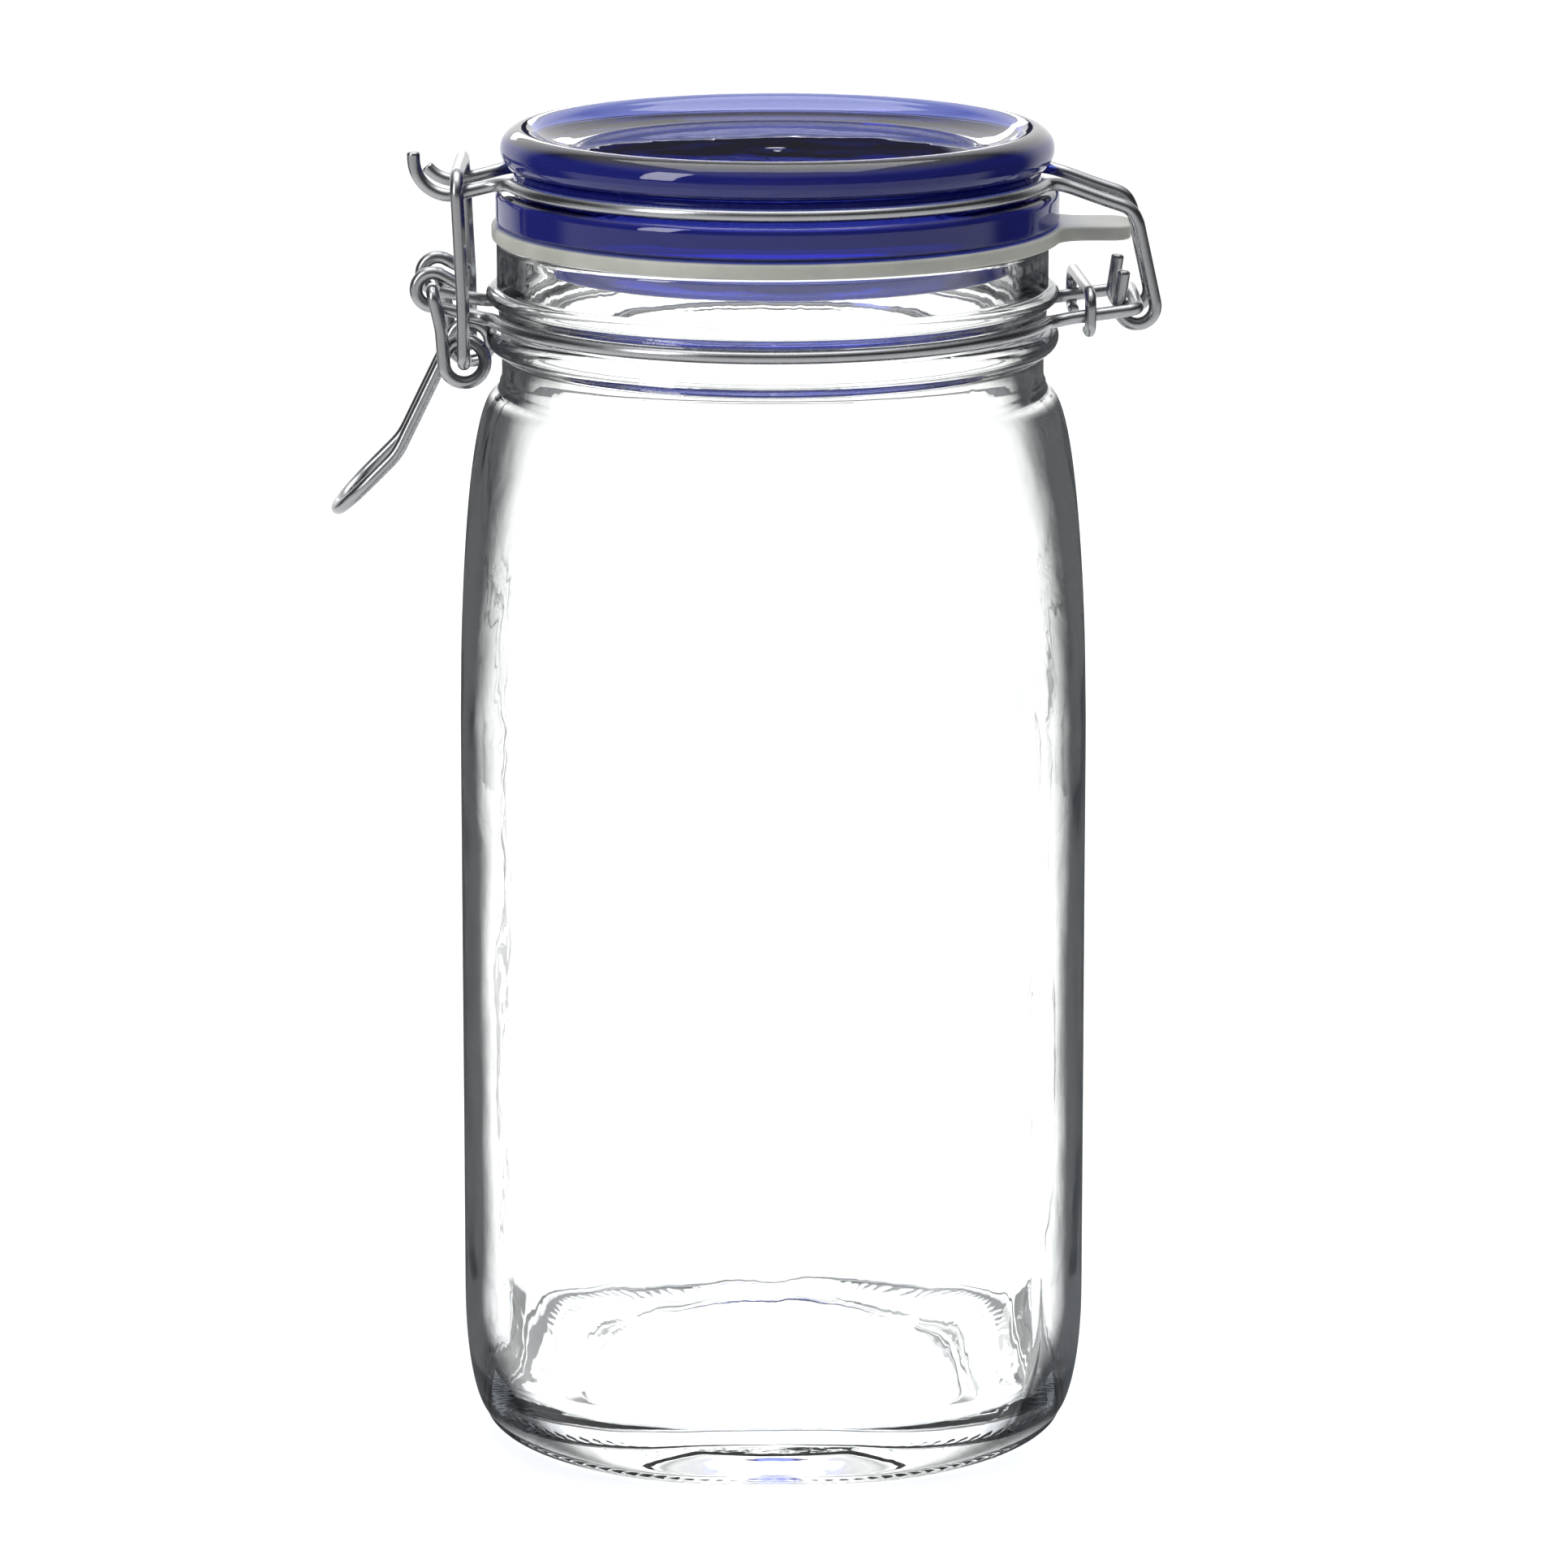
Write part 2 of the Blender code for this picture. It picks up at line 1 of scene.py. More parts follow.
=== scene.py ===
"""Looks of the bail clamp jar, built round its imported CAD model.

Lengths are in millimetres about the jar's own axis, as in the CAD, until a mesh is made.
Angles are in degrees. Every new piece stands for one CAD node and rides on that node's body.
"""

import json
import math

import bpy
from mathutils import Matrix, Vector, noise


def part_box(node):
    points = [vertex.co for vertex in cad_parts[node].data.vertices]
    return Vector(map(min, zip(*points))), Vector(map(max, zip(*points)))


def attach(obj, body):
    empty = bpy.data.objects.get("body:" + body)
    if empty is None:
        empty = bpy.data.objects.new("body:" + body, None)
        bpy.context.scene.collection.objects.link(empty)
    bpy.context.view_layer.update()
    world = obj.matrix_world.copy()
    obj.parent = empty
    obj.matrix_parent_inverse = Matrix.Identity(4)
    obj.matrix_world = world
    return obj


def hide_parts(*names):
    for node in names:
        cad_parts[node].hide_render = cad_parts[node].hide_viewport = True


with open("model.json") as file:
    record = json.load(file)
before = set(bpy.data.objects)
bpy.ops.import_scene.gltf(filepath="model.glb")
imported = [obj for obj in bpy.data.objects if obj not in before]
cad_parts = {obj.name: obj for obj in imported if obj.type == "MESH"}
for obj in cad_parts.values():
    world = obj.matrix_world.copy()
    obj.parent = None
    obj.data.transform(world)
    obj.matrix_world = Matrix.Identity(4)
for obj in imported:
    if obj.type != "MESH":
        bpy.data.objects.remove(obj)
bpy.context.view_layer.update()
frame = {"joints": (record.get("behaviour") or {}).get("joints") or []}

MM = 0.001

# Places read from the frame
jar_low, jar_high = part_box("glass_jar")
lid_low, lid_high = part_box("glass_lid")
gasket_low, gasket_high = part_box("gasket")
AXIS_X = (jar_low.x + jar_high.x) / 2.0 / MM
LID_X = (lid_low.x + lid_high.x) / 2.0 / MM - AXIS_X
RIM_Z = jar_high.z / MM
LID_TOP_Z = lid_high.z / MM
PLUG_BOTTOM_Z = lid_low.z / MM
GASKET_BOTTOM_Z = gasket_low.z / MM
GASKET_TOP_Z = gasket_high.z / MM
TAB_TIP_X = gasket_high.x / MM - AXIS_X
pivots = {
    joint["name"]: Vector(joint["pos_m"]) / MM - Vector((AXIS_X, 0.0, 0.0))
    for joint in frame["joints"]
}
HINGE = pivots["lid_hinge"]
LEVER_PIVOT = pivots["lever_pivot"]
LATCH_PIVOT = pivots["latch_pivot"]

# Glass jar
PUNT_RADIUS = 33.6
PUNT_DEPTH = 2.6
BEARING_INNER = 36.4
FOOT_HALF = 50.2
FOOT_FLAT = 7.5
FOOT_Z = 1.6
# The foot's rounded edge: how far in from the foot's width, and how high
FOOT_EDGE = ((1.0, 0.0), (0.55, 0.15), (0.25, 0.45), (0.1, 1.0), (0.1, 1.35))
HEEL_Z = 27.0
BODY_HALF_LOW = 52.6
BODY_HALF_HIGH = 52.1
BODY_FLAT = 24.0
SHOULDER_Z = 134.0
SHOULDER_TOP_Z = 178.0
SHOULDER_POWER = 2.4
SHOULDER_FIRST = 3.0
SHOULDER_SWEEP = 82.0
FADE_BELOW = 10.0
FADE_EXTRA = 6.0
BODY_STEP = 4.0
BODY_STEPS = 25
WALL = 3.4
FLOOR_Z = 5.4
INNER_HEEL = 9.0
INNER_CORNER_SHARE = 0.7
INNER_SHOULDER_DROP = 2.0
FLOOR_CROWN = 0.4
NECK_WAIST = 45.6
# The low ring where the neck stands on the shoulder: how far out from the waist, and how high
NECK_FOOT = ((0.25, 0.9), (0.4, 1.3), (0.1, 1.9), (0.0, 3.0))
LOWER_BEAD_Z = 187.0
LOWER_BEAD_HEIGHT = 2.4
UPPER_BEAD_Z = 194.2
UPPER_BEAD_HEIGHT = 1.5
BEAD_RADIUS = 48.1
BELOW_BEADS = 0.9
BETWEEN_BEADS = 0.5
ABOVE_BEADS = 0.6
GROOVE_RADIUS = 45.9
NECK_RADIUS = 46.3
MOUTH_RADIUS = 42.0
MOUTH_STRAIGHT = 12.0
MOUTH_FOOT = 4.0
RIM_ROUND = 0.9
OUTER_WAVE = 0.05
INNER_WAVE = 0.3
WAVE_SPAN = 17.0
WAVE_UPRIGHT = 0.5
FINE_PACE = 2.7
FINE_SHARE = 0.35
INSIDE_SHIFT = 7.0
SEAM_ANGLES = (-45.0, 135.0)
SEAM_HEIGHT = 0.12
SEAM_HALF_ANGLE = 0.4
SEAM_BELOW_RIM = 20.0
STIPPLES = 120
STIPPLE_DEPTH = 0.15
STIPPLE_INNER = 43.0
STIPPLE_OUTER = 48.0
SHORTEST_FLAT = 0.01
FLAT_FADE = 0.25

# Lid and gasket
PLUG_RADIUS = 40.5
FLANGE_RADIUS = 47.2
FLANGE_BOTTOM_Z = 206.3
PLUG_INNER = 35.6
PLUG_TAPER = 1.2
FLANGE_HEIGHT = 5.6
GROOVE_FOOT = 6.1
GROOVE_TOP = 2.0
LID_GROOVE_RADIUS = 44.1
LID_RIM_RADIUS = 42.8
LID_RIM_ROUND = 3.5
LID_RIM_Z = LID_TOP_Z - LID_RIM_ROUND
LID_RIM_INNER = 0.78
LID_RIM_RISE = 2.1
DISH_Z = 218.2
DISH_SAG = 0.3
DISH_RADIUS = 36.0
DISH_FILLET = 12.0
DISH_REACH = 37.0
DISH_SAG_RADIUS = 35.0
DISH_UNEVEN = 0.07
DISH_UNEVEN_SPAN = 16.0
DISH_UNEVEN_RADIUS = 24.0
RINGS_HEIGHT = 0.03
RINGS_PACE = 1.5
RINGS_RADIUS = 9.0
LID_RECESS_Z = 207.4
RECESS_RADIUS = 31.5
RECESS_SAG = 0.4
RECESS_FILLET = 6.0
RECESS_REACH = 32.0
RECESS_UNEVEN = 0.15
RECESS_UNEVEN_SPAN = 9.0
FADE_WIDTH = 9.0
GASKET_OUTER = 47.9
GASKET_INNER = 41.0
GASKET_EDGE = 0.45
TAB_HALF_WIDTH = 6.8
TAB_CORNER = 3.0
TAB_ROOT_FILLET = 5.0

# Wires
WIRE = 1.1
CLIP_WIRE = 0.95
BRANCH_BEND = 5.0
BEND_LEVEL = 0.45
NECK_RING_RADIUS = 47.5
NECK_RING_Z = 191.05
NECK_EYE_Y = 8.5
EYE_RADIUS = 2.83
EYE_START = 58.0
EYE_END = Vector((5.2, -0.15, 0.4))
EYE_ARM_DROP = 0.9
HINGE_ARM_Y = 11.5
HINGE_ARM_Z = 192.5
HINGE_ARM_DROP = 0.7
HINGE_CORNER_X = 57.6
HINGE_BEND = 2.0
LID_RING_RADIUS = 45.6
LID_RING_Z = 213.6
LID_ARM_Y = 8.8
LID_ARM_ROOT_Z = 212.3
LID_ARM_SLOPE_X = 54.6
LID_ARM_SLOPE_Z = 211.0
LID_ARM_BEND_X = 59.7
LID_ARM_BEND_Z = 209.3
LID_ARM_FALL_Z = 206.9
LID_ARM_KNEE_BEND = 3.6
LID_ARM_FALL_BEND = 3.0
HORN_LOW_Z = 211.6
HORN_X = -53.4
HORN_RADIUS = 6.1
HORN_ROOT_RISE = 0.8
FRONT_HORN_TURN = 90.0
REAR_HORN_TURN = 50.0
FRONT_HORN_RISE = 1.2
REAR_HORN_RISE = 0.4
HOOK_RADIUS = 3.05
HOOK_START = 12.6
HOOK_END = -188.0
HOOK_END_LENGTH = 5.6
CLIP_X = 51.8
CLIP_SKEW = 3.6
CLIP_TOP_Z = 196.0
CLIP_LEG_Y = 14.0
CLIP_FOOT_Z = 189.3
CLIP_END_Y = 10.4
CLIP_BEND = 2.6
CLIP_FOOT_BEND = 1.7
LEVER_LEG_Y = 11.0
LEVER_KNEE_X = -55.2
LEVER_KNEE_Z = 189.6
LEVER_PIN_BEND = 1.5
LEVER_KNEE_BEND = 8.0
HANDLE_Y = 8.6
HANDLE_TOP = Vector((-56.4, -HANDLE_Y, 181.4))
HANDLE_KNEE = Vector((-63.0, -HANDLE_Y, 168.0))
HANDLE_END = Vector((-67.6, -HANDLE_Y, 163.4))
HANDLE_BEND = 9.0
HANDLE_END_START = 72.0
COIL_RADIUS = 3.42
PIN_END_Y = 6.9
LATCH_PIN_END_Y = 7.2
LATCH_Y = 13.5
LATCH_TOP = Vector((-52.3, 0.0, 215.35))
LATCH_WAIST = Vector((-51.4, -LATCH_Y, 194.0))
LATCH_TOP_BEND = 3.4
LATCH_WAIST_BEND = 40.0
LATCH_PIN_BEND = 1.6
COIL_START = 180.0
COIL_END = 510.0
CUT_ROUND = 0.22

# Fineness of the meshes
JAR_SIDES = 480
LID_SIDES = 256
WIRE_SIDES = 24
ARC_STEP = 5.0
LONGEST_STEP = 1.5
INSIDE_STEP = 1.5 * LONGEST_STEP
LID_STEP = 0.9
WIRE_STEP = 0.8
CLOSEST_STEP = 0.05
RING_STEP = 1.5
EDGE_ANGLES = (0, 30, 60, 90)
WIRE_CREASE = 50.0
# How much of the wires' UV map one millimetre takes
ALONG_SCALE = 0.01

# How steeply the clear glass is seen where its painted edge shade begins, and where that shade is darkest
EDGE_SHADE_START = 0.4
EDGE_SHADE_END = 0.6
EDGE_SHADE_UNEVEN = 0.14
# How much more steeply a flat side is seen before the painted edge shade reaches it too
FLAT_SHADE_SHIFT = 0.33
# How much of the darkest edge is painted shade, a dark see-through tint, and what that tint lets through
EDGE_SHADE_MOST = 0.94
EDGE_SHADE_TINT = (0.17, 0.18, 0.19)

# Z of a normal, up or down, on the slope that is still a wall and on the one that counts as level
UPRIGHT_LEAN = 0.45
LEVEL_LEAN = 0.85

# Cobalt glass: absorption per metre and the colour that it leaves, and a blue diffuse share on its upright
# walls, painted light standing in for light carried through the glass
COBALT_DENSITY = 200.0
COBALT_DEPTH = (0.02, 0.08, 0.7)
BLUE_FILL_COLOUR = (0.035, 0.045, 0.42)
BLUE_FILL_MOST = 0.26

# Heights of the bumps, in metres
CLEAR_RIPPLE = 0.00008
COBALT_RIPPLE = 0.00003
RUBBER_GRAIN = 0.00003
DRAW_LINES = 0.000006

# Floor
FLOOR_RADIUS = 480.0
FLOOR_SIDES = 96
FLOOR_DROP = 0.2

# Light panels: name, place, the place they face, width and height in metres, power in watts
PANELS = (
    ("top_panel", (0.0, 0.1, 1.4), (0.0, 0.0, 0.1), 1.2, 1.2, 14.0),
    ("left_panel", (-0.9, -0.75, 0.75), (0.0, 0.0, 0.15), 0.35, 0.9, 9.0),
    ("back_panel", (-0.2, 1.5, 0.57), (0.0, 0.0, 0.21), 0.7, 0.14, 1.2),
)

# Camera: where it stands from the jar's axis, and how it looks
CAMERA_DISTANCE = 1002.0
CAMERA_HEIGHT = 357.0
CAMERA_ASIDE = 1.9
CAMERA_PITCH = 13.91
CAMERA_TURN = -0.3
CAMERA_LENS = 138.3
CAMERA_SENSOR = 36.0


def smooth(value):
    value = min(1.0, max(0.0, value))
    return value * value * (3.0 - 2.0 * value)


def turn(centre_across, centre_up, across, up, start, end, step=ARC_STEP):
    """Points (across, up) on an elliptical arc, both ends included."""
    steps = max(1, round(abs(end - start) / step))
    points = []
    for index in range(steps + 1):
        angle = math.radians(start + (end - start) * index / steps)
        points.append((centre_across + across * math.cos(angle), centre_up + up * math.sin(angle)))
    return points


def square_reach(angle, half, flat):
    """How far a square of half-width half, with straight sides of half-length flat, reaches."""
    across = abs(math.cos(angle))
    along = abs(math.sin(angle))
    if min(across, along) * half <= flat * max(across, along):
        return half / max(across, along)
    lead = flat * (across + along)
    return lead + math.sqrt(lead * lead - 2.0 * flat * flat + (half - flat) ** 2)


def filled_in(rows, longest):
    """Rows with more between them wherever two are further apart than longest."""
    dense = [rows[0]]
    for row in rows[1:]:
        last = dense[-1]
        gap = math.hypot(row[0] - last[0], row[2] - last[2])
        pieces = max(1, math.ceil(gap / longest))
        for piece in range(1, pieces + 1):
            share = piece / pieces
            dense.append(tuple(a + (b - a) * share for a, b in zip(last, row)))
    return dense


def loft(name, rows, sides, centre_x, shape):
    """A closed mesh through rows (half, flat, z, wave); the first and last are on the axis."""
    points = []
    starts = []
    for half, flat, z, wave in rows:
        starts.append(len(points))
        for side in range(1 if half == 0.0 else sides):
            angle = math.tau * side / sides
            reach = square_reach(angle, half, flat) if half else 0.0
            place = shape(reach, angle, z, wave)
            points.append((place[0] * math.cos(angle) + centre_x, place[0] * math.sin(angle), place[1]))
    faces = []
    for index in range(len(rows) - 1):
        low, high = starts[index], starts[index + 1]
        for side in range(sides):
            after = (side + 1) % sides
            if rows[index][0] == 0.0:
                faces.append((low, high + side, high + after))
            elif rows[index + 1][0] == 0.0:
                faces.append((low + side, high, low + after))
            else:
                faces.append((low + side, high + side, high + after, low + after))
    return mesh_object(name, points, [face[::-1] for face in faces])


def mesh_object(name, points, faces, sharp=None):
    """A new piece from points in millimetres about the jar's axis."""
    data = bpy.data.meshes.new(name)
    data.from_pydata([((x + AXIS_X) * MM, y * MM, z * MM) for x, y, z in points], [], faces)
    data.update()
    data.shade_smooth()
    if sharp:
        data.set_sharp_from_angle(angle=math.radians(sharp))
    piece = bpy.data.objects.new(name, data)
    bpy.context.scene.collection.objects.link(piece)
    return piece


def finish_piece(piece, node, body, look):
    piece.data.materials.append(look)
    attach(piece, body)
    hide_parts(node)


# ---------------------------------------------------------------- glass jar


def body_flat(z):
    """Half the length of the body's flat sides: none at the neck, and short at the foot."""
    rise = min(1.0, max(0.0, (z - FOOT_Z) / (HEEL_Z - FOOT_Z)))
    heel = FOOT_FLAT + (BODY_FLAT - FOOT_FLAT) * math.sin(math.pi / 2.0 * rise)
    fade = (z - SHOULDER_Z + FADE_BELOW) / (SHOULDER_TOP_Z - SHOULDER_Z + FADE_EXTRA)
    return heel * (1.0 - smooth(fade))


def body_half(z):
    """The body's half-width from the heel's top to the neck's waist."""
    if z <= SHOULDER_Z:
        share = (z - HEEL_Z) / (SHOULDER_Z - HEEL_Z)
        return BODY_HALF_LOW + (BODY_HALF_HIGH - BODY_HALF_LOW) * share
    share = min(1.0, (z - SHOULDER_Z) / (SHOULDER_TOP_Z - SHOULDER_Z))
    bulge = max(0.0, 1.0 - share**SHOULDER_POWER) ** (1.0 / SHOULDER_POWER)
    return NECK_WAIST + (BODY_HALF_HIGH - NECK_WAIST) * bulge


def shoulder_heights(step):
    """Heights up the shoulder, closer together where it turns in."""
    count = round(SHOULDER_SWEEP / step)
    angles = [SHOULDER_FIRST + SHOULDER_SWEEP * index / count for index in range(count + 1)]
    rise = SHOULDER_TOP_Z - SHOULDER_Z
    return [SHOULDER_Z + rise * math.sin(math.radians(angle)) for angle in angles]


def jar_outside():
    rows = [(0.0, 0.0, PUNT_DEPTH), (PUNT_RADIUS - 0.6, 0.0, PUNT_DEPTH)]
    rows += [(PUNT_RADIUS, 0.0, PUNT_DEPTH - 0.2), (BEARING_INNER - 0.5, 0.0, 0.15)]
    rows.append((BEARING_INNER, 0.0, 0.0))
    rows += [(FOOT_HALF - inset, FOOT_FLAT, z) for inset, z in FOOT_EDGE]
    heel_rise = HEEL_Z - FOOT_Z
    for half, z in turn(FOOT_HALF, HEEL_Z, BODY_HALF_LOW - FOOT_HALF, heel_rise, -90.0, 0.0, 4.0):
        rows.append((half, body_flat(z), z))
    sides = [HEEL_Z + BODY_STEP * step for step in range(1, BODY_STEPS + 1)]
    for z in sides + shoulder_heights(4.0):
        rows.append((body_half(z), body_flat(z), z))
    rows += [(NECK_WAIST + out, 0.0, SHOULDER_TOP_Z + up) for out, up in NECK_FOOT]
    rows.append((NECK_WAIST, 0.0, LOWER_BEAD_Z - LOWER_BEAD_HEIGHT - BELOW_BEADS))
    out = BEAD_RADIUS - NECK_WAIST
    neck = turn(NECK_WAIST, LOWER_BEAD_Z, out, LOWER_BEAD_HEIGHT, -80.0, 78.0, 8.0)
    neck.append((GROOVE_RADIUS, LOWER_BEAD_Z + LOWER_BEAD_HEIGHT + BETWEEN_BEADS))
    out = BEAD_RADIUS - GROOVE_RADIUS
    neck += turn(GROOVE_RADIUS, UPPER_BEAD_Z, out, UPPER_BEAD_HEIGHT, -80.0, 80.0, 8.0)
    neck.append((NECK_RADIUS, UPPER_BEAD_Z + UPPER_BEAD_HEIGHT + ABOVE_BEADS))
    centre = NECK_RADIUS - RIM_ROUND
    neck += turn(centre, RIM_Z - RIM_ROUND, RIM_ROUND, RIM_ROUND, 0.0, 90.0, 15.0)
    rows += [(half, 0.0, z) for half, z in neck]
    return [(*row, OUTER_WAVE) for row in rows]


def jar_inside():
    centre = MOUTH_RADIUS + RIM_ROUND
    rim = turn(centre, RIM_Z - RIM_ROUND, RIM_ROUND, RIM_ROUND, 90.0, 180.0, 15.0)
    rows = [(half, 0.0, z, 0.0) for half, z in rim]
    rows.append((MOUTH_RADIUS, 0.0, SHOULDER_TOP_Z + MOUTH_STRAIGHT, 0.0))
    rows.append((MOUTH_RADIUS, 0.0, SHOULDER_TOP_Z + MOUTH_FOOT, INNER_WAVE * 0.5))
    for z in reversed(shoulder_heights(5.0)):
        half = min(body_half(z), BODY_HALF_HIGH) - WALL
        rows.append((half, body_flat(z), z - INNER_SHOULDER_DROP, INNER_WAVE))
    for step in range(BODY_STEPS):
        z = SHOULDER_Z - BODY_STEP - BODY_STEP * step
        rows.append((body_half(z) - WALL, body_flat(z), z, INNER_WAVE))
    inner_half = BODY_HALF_LOW - WALL
    heel = turn(inner_half - INNER_HEEL, FLOOR_Z + INNER_HEEL, INNER_HEEL, INNER_HEEL, 0.0, -90.0, 5.0)
    for half, z in heel:
        flat = min(body_flat(z), half - INNER_HEEL * INNER_CORNER_SHARE)
        rows.append((half, flat, z, INNER_WAVE))
    rows.append((0.0, 0.0, FLOOR_Z + FLOOR_CROWN, 0.0))
    return rows


def jar_shape(reach, angle, z, wave):
    """Moulded glass: slow waves, two mould seams and the stippled ring that it stands on."""
    spot = Vector((reach * math.cos(angle), reach * math.sin(angle), z * WAVE_UPRIGHT)) / WAVE_SPAN
    inner = wave > OUTER_WAVE
    ripple = noise.noise(spot + Vector((INSIDE_SHIFT if inner else 0.0, 0.0, 0.0)))
    fine = noise.noise(spot * FINE_PACE)
    moved = reach - wave * (0.5 + 0.5 * ripple) - wave * FINE_SHARE * fine
    if not inner and z > 0.0:
        for seam in SEAM_ANGLES:
            away = abs((math.degrees(angle) - seam + 180.0) % 360.0 - 180.0)
            if away < SEAM_HALF_ANGLE and z < RIM_Z - SEAM_BELOW_RIM:
                moved += SEAM_HEIGHT
    if z <= 0.0 and STIPPLE_INNER < reach < STIPPLE_OUTER:
        z += STIPPLE_DEPTH * (0.5 + 0.5 * math.cos(STIPPLES * angle))
    return moved, z


def flatness(place):
    """1 on the body's flat sides, 0 on its corners and on the neck."""
    along = min(abs(place.x / MM - AXIS_X), abs(place.y / MM))
    share = along / max(SHORTEST_FLAT, body_flat(place.z / MM))
    return 1.0 - smooth((share - (1.0 - FLAT_FADE)) / FLAT_FADE)


def make_jar(glass):
    """The jar. Its UV map says what the glass is like: X is 0 outside and 1 inside, Y is flatness."""
    outside = filled_in(jar_outside(), LONGEST_STEP)
    inside = filled_in(jar_inside(), INSIDE_STEP)
    piece = loft("jar_glass", outside + inside, JAR_SIDES, 0.0, jar_shape)
    layer = piece.data.uv_layers.new(name="wall")
    outer_points = 1 + (len(outside) - 1) * JAR_SIDES
    inner = [0.0 if point.index < outer_points else 1.0 for point in piece.data.vertices]
    flat = [flatness(point.co) for point in piece.data.vertices]
    corners = [loop.vertex_index for loop in piece.data.loops]
    layer.data.foreach_set("uv", [value for point in corners for value in (inner[point], flat[point])])
    finish_piece(piece, "glass_jar", "jar", glass)


# ---------------------------------------------------------------- lid and gasket


def rounded(corners):
    """A profile through corners (across, up, fillet radius), with its fillets as arcs."""
    points = [Vector((corner[0], 0.0, corner[1])) for corner in corners]
    line = [points[0]]
    for index in range(1, len(points) - 1):
        line += bend_at(points[index - 1], points[index], points[index + 1], corners[index][2], 15.0)
    return [(place.x, place.z) for place in line + [points[-1]]]


def lid_profile():
    """The lid's section from its underside round to the dish on top."""
    profile = rounded([
        (0.0, LID_RECESS_Z, 0.0),
        (RECESS_RADIUS, LID_RECESS_Z - RECESS_SAG, RECESS_FILLET),
        (PLUG_INNER, PLUG_BOTTOM_Z, 1.0),
        (PLUG_RADIUS - PLUG_TAPER, PLUG_BOTTOM_Z, 0.9),
        (PLUG_RADIUS, FLANGE_BOTTOM_Z, 0.3),
        (FLANGE_RADIUS, FLANGE_BOTTOM_Z, 0.8),
        (FLANGE_RADIUS, FLANGE_BOTTOM_Z + FLANGE_HEIGHT, 1.5),
        (LID_GROOVE_RADIUS, FLANGE_BOTTOM_Z + GROOVE_FOOT, 0.5),
        (LID_GROOVE_RADIUS, LID_RING_Z + GROOVE_TOP, 0.3),
    ])
    profile += turn(LID_RIM_RADIUS, LID_RIM_Z, LID_RIM_ROUND, LID_RIM_ROUND, -50.0, 140.0, 6.0)
    dish = rounded([
        (LID_RIM_RADIUS - LID_RIM_ROUND * LID_RIM_INNER, LID_RIM_Z + LID_RIM_RISE, 0.0),
        (DISH_RADIUS, DISH_Z, DISH_FILLET),
        (0.0, DISH_Z, 0.0),
    ])
    return profile + dish[1:]


def lid_shape(reach, angle, z, wave):
    """Pressed glass: the dish is gently uneven, with rings round its middle, and so is the recess."""
    spot = Vector((reach * math.cos(angle), reach * math.sin(angle), 0.0))
    inside_dish = 1.0 - smooth((reach - DISH_UNEVEN_RADIUS) / FADE_WIDTH)
    on_top = 1.0 if z > DISH_Z - 0.5 and reach < DISH_REACH else 0.0
    uneven = noise.noise(spot / DISH_UNEVEN_SPAN + Vector((3.1, 0.4, 0.0)))
    sag = DISH_SAG * ((reach / DISH_SAG_RADIUS) ** 2 - 1.0)
    lift = on_top * (sag + inside_dish * DISH_UNEVEN * uneven)
    rings = RINGS_HEIGHT * math.cos(reach * RINGS_PACE)
    lift += on_top * rings * (1.0 - smooth(reach / RINGS_RADIUS))
    under = 1.0 if z < LID_RECESS_Z + 0.1 and reach < RECESS_REACH else 0.0
    lift += under * RECESS_UNEVEN * noise.noise(spot / RECESS_UNEVEN_SPAN)
    return reach, z + lift


def make_lid(glass):
    rows = [(across, 0.0, up, 0.0) for across, up in lid_profile()]
    rows = filled_in(rows, LID_STEP)
    piece = loft("lid_glass", rows, LID_SIDES, LID_X, lid_shape)
    finish_piece(piece, "glass_lid", "lid", glass)


def tab_outline():
    """Half of the pull tab's edge, from the middle of its tip to where it meets the ring."""
    corner_x = TAB_TIP_X - TAB_CORNER
    corner_y = TAB_HALF_WIDTH - TAB_CORNER
    points = turn(corner_x, corner_y, TAB_CORNER, TAB_CORNER, 0.0, 84.0, 8.0)
    fillet_y = TAB_HALF_WIDTH + TAB_ROOT_FILLET
    fillet_x = LID_X + math.sqrt((GASKET_OUTER + TAB_ROOT_FILLET) ** 2 - fillet_y**2)
    end = 180.0 + math.degrees(math.atan2(fillet_y, fillet_x - LID_X))
    points += turn(fillet_x, fillet_y, TAB_ROOT_FILLET, TAB_ROOT_FILLET, 268.0, end, 8.0)
    return points


def gasket_outline():
    """The gasket's outer edge seen from above, anticlockwise from the tab."""
    tab = tab_outline()
    start = math.degrees(math.atan2(tab[-1][1], tab[-1][0] - LID_X))
    sweep = turn(LID_X, 0.0, GASKET_OUTER, GASKET_OUTER, start, 360.0 - start, 2.0)
    return tab + sweep[1:-1] + [(x, -y) for x, y in reversed(tab)]


